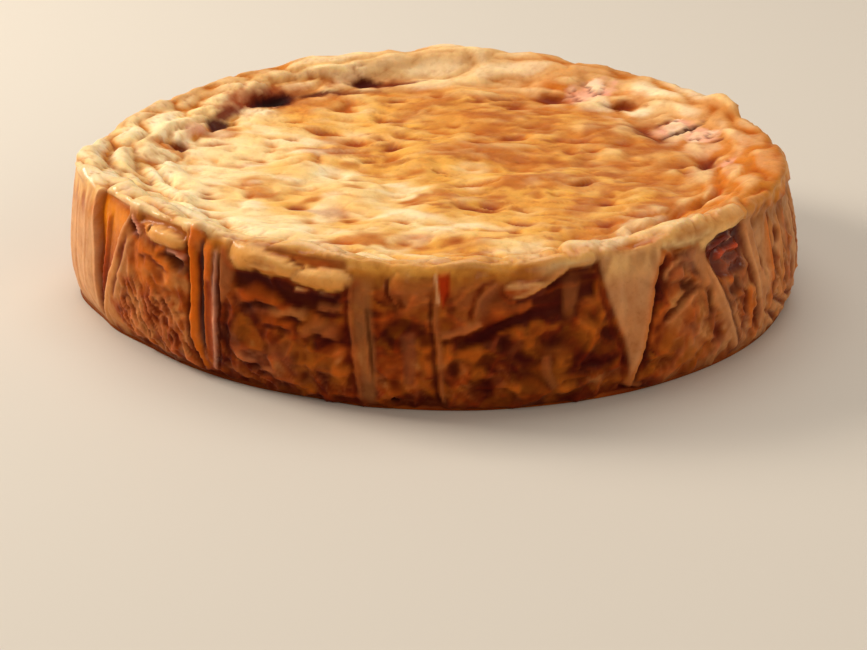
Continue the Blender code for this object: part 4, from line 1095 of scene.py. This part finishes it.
def paint_relief_shade_and_highlights(skin, rows):
    """Paints shade into the colour, darkening and reddening what lies lower than its surroundings, and
    paints highlights that lighten what stands out.
    """
    near, wide = relief_of(skin, rows)
    top = skin.top * (1 - skin.side)
    hollow = smooth(0.05, 0.8, -wide) + (0.2 + 0.4 * skin.side) * smooth(0.02, 0.3, -near)
    ridge = smooth(0.08, 0.7, wide) + (0.2 + 0.2 * skin.side) * smooth(0.03, 0.25, near)
    hollow, ridge = np.clip(hollow, 0, 1)[:, None], np.clip(ridge, 0, 1)[:, None]
    on_side, on_top = skin.side[:, None], top[:, None]
    # Painted shade in the hollows of the side and of the top
    skin.rgb *= 1 - 0.50 * hollow * on_side * SHADE_IN_HOLLOW_OF_SIDE
    skin.rgb *= 1 - 0.72 * hollow * on_top * SHADE_IN_HOLLOW_OF_TOP
    # Painted highlight on the ridges of the side
    room = np.clip(1 - skin.rgb.max(axis=1, keepdims=True) / 0.8, 0, 1)
    skin.rgb += skin.rgb * HIGHLIGHT_ON_RIDGE_OF_SIDE * ridge * on_side * room
    # Painted highlight on the ridges of the top, towards cream; dark paint keeps its colour
    fair = smooth(0.10, 0.45, skin.rgb.max(axis=1, keepdims=True))
    skin.rgb += (np.array(skin.colours["cream"]) * 1.05 - skin.rgb) * 0.5 * ridge * on_top * fair


def finish_foot(skin):
    """Dark lower edge, partly greasy skin and partly painted contact shade, and the plain baked underside.
    """
    ring = skin.ring_place(skin.z)
    # Painted contact shade along the foot, darkest at the front, partly greasy skin
    edge = 1 - smooth(0.8, 4.5, skin.z + 0.9 * noise(ring, 8, 401))
    share = skin.around({0: 0.3, 90: 0.4, 180: 0.3, 200: 0.3, 218: 0.8, 240: 0.9, 290: 0.7, 330: 0.5})
    skin.paint(edge * (1 - skin.under) * share, "maroon", 0.85)
    skin.paint(skin.under, "brown")
    skin.paint(skin.under * smooth(-0.1, 0.5, layered_noise(skin.place, 18, 411, 3)), "amber", 0.6)


BOX_MARGIN_MM = 1.2


def past_margin(over):
    """How far to bring back a point that is so many mm past the margin, so that it stays in the box."""
    return np.where(over > 0, over - BOX_MARGIN_MM * 0.9 * (1 - np.exp(-over / BOX_MARGIN_MM)), 0)


def settle(points):
    """Keeps every point inside the box of the solid and on or above the floor."""
    low, high = np.array(CAD_LOW) / MM, np.array(CAD_HIGH) / MM
    for axis in (0, 1, 2):
        points[:, axis] -= past_margin(points[:, axis] - (high[axis] - BOX_MARGIN_MM))
        if axis < 2:
            points[:, axis] += past_margin((low[axis] + BOX_MARGIN_MM) - points[:, axis])
    points[:, 2] = np.maximum(points[:, 2], 0)
    return points


def join_rows(lower, upper):
    """Faces between two closed rows of point numbers, where one row may have half the points."""
    if len(lower) == len(upper):
        n = len(lower)
        return [(lower[j], lower[(j + 1) % n], upper[(j + 1) % n], upper[j]) for j in range(n)]
    fine, coarse = (lower, upper) if len(lower) > len(upper) else (upper, lower)
    n = len(coarse)
    faces = []
    for j in range(n):
        a, b, c = fine[2 * j], fine[2 * j + 1], fine[(2 * j + 2) % len(fine)]
        d, e = coarse[j], coarse[(j + 1) % n]
        faces += [(a, b, d), (b, e, d), (b, c, e)]
    return faces if fine is lower else [face[::-1] for face in faces]


def lay_out_rows():
    """Angle and station of every point, and the numbers of the points in each row."""
    stations, radii = row_stations()
    columns = column_angles()
    angles = [columns[::stride_for(r)] for r in radii]
    counts = [len(a) for a in angles]
    starts = np.concatenate([[0], np.cumsum(counts)])
    rows = [np.arange(starts[k], starts[k + 1]) for k in range(len(counts))]
    return np.concatenate(angles), np.repeat(stations, counts), rows


def bake(skin, rows):
    """Shapes and paints the whole skin. Later steps lie over earlier ones."""
    paint_side_ground(skin)
    shape_side_ground(skin)
    body, above, near_top = fold_lip_over(skin)
    fold_far_side(skin)
    paint_lip(skin, body, above, near_top)
    fold_left_pleats(skin)
    fold_front(skin)
    fold_right_pleats(skin)
    paint_top(skin, *shape_top(skin))
    paint_relief_shade_and_highlights(skin, rows)
    finish_foot(skin)


def cake_mesh(colours):
    """The whole skin as one closed mesh, with its colour and gloss stored on its points."""
    degrees, station, rows = lay_out_rows()
    skin = Skin(degrees, station, colours)
    bake(skin, rows)

    # The underside stays flat
    calm = smooth(2.6, 3.3, skin.station)
    r = skin.r + skin.normal_r * skin.out * calm
    z = skin.z + (skin.normal_z * skin.out + skin.lift) * calm
    angle = np.radians(skin.degrees)
    points = settle(np.stack([r * np.cos(angle), r * np.sin(angle), z], axis=1))
    centres = np.array([(0, 0, 0), (0, 0, points[rows[-1], 2].mean())])
    base_centre, top_centre = len(points), len(points) + 1
    lists = [row.tolist() for row in rows]
    faces = [(base_centre, b, a) for a, b in zip(lists[0], lists[0][1:] + lists[0][:1])]
    for lower, upper in zip(lists, lists[1:]):
        faces += join_rows(lower, upper)
    faces += [(top_centre, a, b) for a, b in zip(lists[-1], lists[-1][1:] + lists[-1][:1])]
    mesh = bpy.data.meshes.new("cheesecake_skin")
    mesh.from_pydata((np.concatenate([points, centres]) * MM).tolist(), [], faces)
    mesh.shade_smooth()

    rgba = np.ones((len(points) + 2, 4))
    rgba[:-2, :3] = np.clip(skin.rgb, 0.003, 1)
    rgba[-2, :3], rgba[-1, :3] = rgba[rows[0][0], :3], rgba[rows[-1][0], :3]
    colour = mesh.attributes.new("skin_colour", "FLOAT_COLOR", "POINT")
    colour.data.foreach_set("color", rgba.ravel())
    gloss = mesh.attributes.new("skin_gloss", "FLOAT", "POINT")
    gloss.data.foreach_set("value", np.append(skin.gloss, [0.5, 0.5]))
    return mesh


# Scales of the two grains of the skin, and what each multiplies the painted colour by
BROAD_GRAIN = 170
FINE_GRAIN = 620
BROWNER = (0.62, 0.40, 0.26)
PALER = (1.22, 1.2, 1.12)
SPECKLED = (0.60, 0.42, 0.30)
# Strength and distance in metres of the bumps that each grain makes
FINE_BUMP = (0.22, 0.0004)
BROAD_BUMP = (0.25, 0.0009)


def skin_material(roughness, sheen_colour):
    """Baked custard skin: painted colour with fine mottling, soft gloss and a grain of small bumps."""
    material = bpy.data.materials.new("baked_skin")
    material.use_nodes = True
    nodes, links = material.node_tree.nodes, material.node_tree.links
    shader = nodes["Principled BSDF"]
    place = nodes.new("ShaderNodeTexCoord")

    def painted(name, output):
        made = nodes.new("ShaderNodeAttribute")
        made.attribute_name = name
        return made.outputs[output]

    def grain(scale, detail=3, rough=0.6):
        made = nodes.new("ShaderNodeTexNoise")
        for name, value in (("Scale", scale), ("Detail", detail), ("Roughness", rough)):
            made.inputs[name].default_value = value
        links.new(place.outputs["Object"], made.inputs["Vector"])
        return made.outputs["Fac"]

    def spread(source, low, high, to_low, to_high):
        made = nodes.new("ShaderNodeMapRange")
        for name, value in (("From Min", low), ("From Max", high), ("To Min", to_low), ("To Max", to_high)):
            made.inputs[name].default_value = value
        links.new(source, made.inputs["Value"])
        return made.outputs["Result"]

    def tinted(share, source, tint):
        made = nodes.new("ShaderNodeMix")
        made.data_type = "RGBA"
        made.blend_type = "MULTIPLY"
        links.new(share, made.inputs[0])
        links.new(source, made.inputs[6])
        made.inputs[7].default_value = (*tint, 1)
        return made.outputs[2]

    def bump(height, strength, distance):
        made = nodes.new("ShaderNodeBump")
        made.inputs["Strength"].default_value = strength
        made.inputs["Distance"].default_value = distance
        links.new(height, made.inputs["Height"])
        return made

    colour, gloss = painted("skin_colour", "Color"), painted("skin_gloss", "Fac")
    broad, fine = grain(BROAD_GRAIN), grain(FINE_GRAIN)
    browner = tinted(spread(broad, 0.50, 0.72, 0.0, 0.40), colour, BROWNER)
    paler = tinted(spread(broad, 0.30, 0.46, 0.6, 0.0), browner, PALER)
    speckled = tinted(spread(fine, 0.56, 0.72, 0.0, 0.22), paler, SPECKLED)
    links.new(speckled, shader.inputs["Base Color"])

    uneven = nodes.new("ShaderNodeMath")
    uneven.operation = "ADD"
    links.new(spread(gloss, 0.0, 1.0, roughness + 0.22, roughness - 0.22), uneven.inputs[0])
    links.new(spread(fine, 0.3, 0.7, -0.06, 0.09), uneven.inputs[1])
    links.new(uneven.outputs[0], shader.inputs["Roughness"])

    small, larger = bump(fine, *FINE_BUMP), bump(broad, *BROAD_BUMP)
    links.new(small.outputs["Normal"], larger.inputs["Normal"])
    links.new(larger.outputs["Normal"], shader.inputs["Normal"])

    shader.inputs["Subsurface Weight"].default_value = 0.25
    shader.inputs["Subsurface Radius"].default_value = (1.0, 0.45, 0.2)
    shader.inputs["Subsurface Scale"].default_value = 0.003
    links.new(spread(gloss, 0.52, 0.90, 0.0, 0.55), shader.inputs["Coat Weight"])
    shader.inputs["Coat Roughness"].default_value = 0.16
    shader.inputs["Coat Tint"].default_value = (*sheen_colour, 1)
    shader.inputs["Specular IOR Level"].default_value = 0.06
    shader.inputs["Specular Tint"].default_value = (1.0, 0.68, 0.40, 1)
    return material


def plain_material(name, colour, roughness):
    """A matt material of one colour."""
    material = bpy.data.materials.new(name)
    material.use_nodes = True
    shader = material.node_tree.nodes["Principled BSDF"]
    shader.inputs["Base Color"].default_value = (*colour, 1)
    shader.inputs["Roughness"].default_value = roughness
    return material


def stand(x_axis, y_axis, z_axis, place):
    """A world matrix from three axes and a place."""
    return Matrix([[*column] for column in zip(x_axis, y_axis, z_axis, place)] + [[0, 0, 0, 1]])


def colour_property(name, description, text):
    """A colour that the panel shows, with its default as six hexadecimal digits."""
    return bpy.props.FloatVectorProperty(name=name, description=description, default=srgb(text), size=3,
                                         min=0.0, max=1.0, subtype="COLOR")


# The stage, in metres: half the floor's side and how far it lies under the cake
FLOOR_REACH = 6
FLOOR_DROP = 0.0002
# Where the lamps point, and each lamp: its share of the key power, its size, place and colour
LAMP_AIM = (0, 0, 0.03)
LAMPS = (("studio_key", 1.0, (0.42, 0.42), (-0.95, 0.35, 0.62), (1.0, 0.94, 0.84)),
         ("studio_top", 0.75, (1.2, 1.0), (-0.1, 0.5, 1.4), (1.0, 0.97, 0.92)),
         ("studio_fill", 0.40, (1.0, 0.8), (0.9, -1.1, 0.75), (1.0, 0.95, 0.88)))
CAMERA_PLACE = (0.0003, -0.8018, 0.3007)
CAMERA_PITCH = math.radians(21.68)
CAMERA_ROLL = math.radians(0.19)
SENSOR_WIDTH_MM = 36.0


def add_lamp(scene, name, power, size, place, tint):
    """A soft rectangular lamp that points at the cake."""
    light = bpy.data.lights.new(name, "AREA")
    light.shape = "RECTANGLE"
    light.size, light.size_y = size
    light.energy = power
    light.color = tint
    lamp = bpy.data.objects.new(name, light)
    scene.collection.objects.link(lamp)
    back = np.array(place) - np.array(LAMP_AIM)
    back = back / np.linalg.norm(back)
    side = np.cross((0, 0, 1), back)
    side = side / np.linalg.norm(side)
    lamp.matrix_world = stand(side, np.cross(back, side), back, place)


def add_camera(scene, lens):
    """The camera at the angle of the photo."""
    camera = bpy.data.cameras.new("studio_camera")
    camera.sensor_width = SENSOR_WIDTH_MM
    camera.lens = lens
    camera.clip_start = 0.01
    seen_from = bpy.data.objects.new("studio_camera", camera)
    scene.collection.objects.link(seen_from)
    forward = np.array([0, math.cos(CAMERA_PITCH), -math.sin(CAMERA_PITCH)])
    up = np.array([0, math.sin(CAMERA_PITCH), math.cos(CAMERA_PITCH)])
    right = np.array([1.0, 0, 0])
    across = math.cos(CAMERA_ROLL) * right + math.sin(CAMERA_ROLL) * up
    upward = -math.sin(CAMERA_ROLL) * right + math.cos(CAMERA_ROLL) * up
    seen_from.matrix_world = stand(across, upward, -forward, CAMERA_PLACE)
    scene.camera = seen_from


class CHEESECAKE_PG_cake(bpy.types.PropertyGroup):
    """Colours and finish of the cake."""

    crust: colour_property("Crust", "Base colour before anything is painted", "A8602C")
    cream: colour_property("Cream", "Palest places of the top", "F9D796")
    lobe: colour_property("Lobe", "Puffed lobes that hang from the rim", "E0A054")
    froth: colour_property("Froth", "Brightest puffs", "FFEDC8")
    pale: colour_property("Pale", "Puffed folds of the rim and the hanging skin", "F0BA74")
    buff: colour_property("Buff", "Rim at the back", "EDC68C")
    gold: colour_property("Gold", "Most of the top", "EAAA4C")
    gold_edge: colour_property("Gold edge", "Lower edge of the hanging skin", "D0802A")
    toast: colour_property("Toast", "Browner parts of the top", "CC7A2E")
    spot: colour_property("Spot", "Brown spots of the top", "8C4416")
    stain: colour_property("Stain", "Browned skin round the spots", "AE5A1C")
    crease: colour_property("Crease", "Creases between the puffs of the rim", "C98230")
    amber_top: colour_property("Amber rim", "Rim at the right", "CD6E14")
    blush: colour_property("Blush", "Torn places that show the custard", "EAA98C")
    tan: colour_property("Tan", "Lighter parts of the side", "C47E42")
    peach: colour_property("Peach", "Smooth panel and pleat edges of the side", "CE9664")
    chamois: colour_property("Chamois", "Pale smooth flaps of the side", "C6824E")
    dusk: colour_property("Dusk", "Brownish pink folds of the side", "9E5A2E")
    drab: colour_property("Drab", "Pale strips of the side", "A66838")
    olive: colour_property("Olive", "Dark line in the pale strip", "64401C")
    pinkish: colour_property("Pinkish", "Walls between the pits of the side", "C4764A")
    mauve: colour_property("Mauve", "Cooler patches of the side", "8A4A2A")
    ash: colour_property("Ash", "Greyish patch of the side", "8E5E44")
    ash_dark: colour_property("Dark ash", "Greyish hollow of the side", "542C20")
    marble: colour_property("Marble", "Amber marbling of the side", "9E5416")
    amber: colour_property("Amber", "Middle brown of the side", "AC4E12")
    orange: colour_property("Orange", "Glossy folds of the side", "D06A18")
    lining: colour_property("Lining", "Glossy inside of the open folds", "E28210")
    gold_dark: colour_property("Dark gold", "Lit edge of the front flap", "B9834A")
    ochre: colour_property("Ochre", "Browned zone under the rim", "A8601C")
    panel: colour_property("Panel", "Smooth panel at the left", "D9A070")
    red_brown: colour_property("Red brown", "Shaded lining of the folds", "9A3A0E")
    flame: colour_property("Flame", "Bright slot at the front", "E2501A")
    rust: colour_property("Rust", "Reddish brown places", "74240A")
    brown: colour_property("Brown", "Well baked side", "84320C")
    maroon: colour_property("Maroon", "Dark folds and hollows", "4A1004")
    char: colour_property("Char", "Burnt creases", "2A0B05")
    roughness: bpy.props.FloatProperty(name="Roughness", description="How dull the skin is", default=0.46,
                                       min=0.25, max=0.8, subtype="FACTOR")
    coat: colour_property("Coat", "Tint of the moist film on the skin", "FFF4E2")


class CHEESECAKE_PG_studio(bpy.types.PropertyGroup):
    """Floor, lights and camera."""

    floor: colour_property("Floor", "Plain pale floor", "D5CBBE")
    air: colour_property("Air", "Colour of the light from all round", "F4ECE0")
    air_strength: bpy.props.FloatProperty(name="Air strength", description="Light from all round",
                                          default=0.4, min=0.0, max=5.0)
    key_power: bpy.props.FloatProperty(name="Key light", description="Power of the soft light from the left",
                                       default=12.0, min=0.0, unit="POWER")
    lens: bpy.props.FloatProperty(name="Lens", description="Focal length for a 36 mm wide sensor",
                                  default=107.96, min=20.0, subtype="DISTANCE_CAMERA")


class CHEESECAKE_OT_cake(bpy.types.Operator):
    """Build the baked cheesecake over its solid"""

    bl_idname = "cheesecake.build_cake"
    bl_label = "Cheesecake"
    bl_options = {"REGISTER", "UNDO"}

    def execute(self, context):
        chosen = context.scene.cheesecake_cake
        colours = {name: tuple(getattr(chosen, name)) for name in COLOUR_NAMES}
        mesh = cake_mesh(colours)
        cake = bpy.data.objects.new("cheesecake_baked", mesh)
        context.scene.collection.objects.link(cake)
        mesh.materials.append(skin_material(chosen.roughness, tuple(chosen.coat)))
        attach(cake, "root")
        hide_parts("cheesecake")
        return {"FINISHED"}


class CHEESECAKE_OT_studio(bpy.types.Operator):
    """Build the plain floor, the soft lights and the camera"""

    bl_idname = "cheesecake.build_studio"
    bl_label = "Studio"
    bl_options = {"REGISTER", "UNDO"}

    def execute(self, context):
        chosen = context.scene.cheesecake_studio
        scene = context.scene
        mesh = bpy.data.meshes.new("studio_floor")
        corners = ((-1, -1), (1, -1), (1, 1), (-1, 1))
        mesh.from_pydata([(x * FLOOR_REACH, y * FLOOR_REACH, 0) for x, y in corners], [], [(0, 1, 2, 3)])
        floor = bpy.data.objects.new("studio_floor", mesh)
        scene.collection.objects.link(floor)
        mesh.materials.append(plain_material("studio_floor", tuple(chosen.floor), 0.55))
        floor.location.z = -FLOOR_DROP

        world = bpy.data.worlds.new("studio_air")
        world.use_nodes = True
        world.node_tree.nodes["Background"].inputs["Color"].default_value = (*chosen.air, 1)
        world.node_tree.nodes["Background"].inputs["Strength"].default_value = chosen.air_strength
        scene.world = world
        scene.view_settings.view_transform = "Standard"
        for name, share, size, place, tint in LAMPS:
            add_lamp(scene, name, chosen.key_power * share, size, place, tint)
        add_camera(scene, chosen.lens)
        return {"FINISHED"}


class CHEESECAKE_PT_panel(bpy.types.Panel):
    """Everything that can be built, with its sizes and colours."""

    bl_idname = "CHEESECAKE_PT_panel"
    bl_label = "Cheesecake"
    bl_space_type = "VIEW_3D"
    bl_region_type = "UI"
    bl_category = "Cheesecake"

    def draw(self, context):
        layout = self.layout
        for group, operator in ((context.scene.cheesecake_cake, CHEESECAKE_OT_cake),
                                (context.scene.cheesecake_studio, CHEESECAKE_OT_studio)):
            box = layout.box()
            for name in group.__annotations__:
                box.prop(group, name)
            box.operator(operator.bl_idname)


COLOUR_NAMES = [name for name in CHEESECAKE_PG_cake.__annotations__ if name not in ("roughness", "coat")]
CLASSES = (CHEESECAKE_PG_cake, CHEESECAKE_PG_studio, CHEESECAKE_OT_cake, CHEESECAKE_OT_studio,
           CHEESECAKE_PT_panel)


def register():
    """Adds the classes, and the settings to the scene."""
    for made in CLASSES:
        bpy.utils.register_class(made)
    bpy.types.Scene.cheesecake_cake = bpy.props.PointerProperty(type=CHEESECAKE_PG_cake)
    bpy.types.Scene.cheesecake_studio = bpy.props.PointerProperty(type=CHEESECAKE_PG_studio)


def unregister():
    """Takes them away again."""
    del bpy.types.Scene.cheesecake_studio
    del bpy.types.Scene.cheesecake_cake
    for made in reversed(CLASSES):
        bpy.utils.unregister_class(made)


def main():
    """Builds the cake and the studio."""
    register()
    bpy.ops.cheesecake.build_cake()
    bpy.ops.cheesecake.build_studio()


if __name__ == "__main__":
    main()
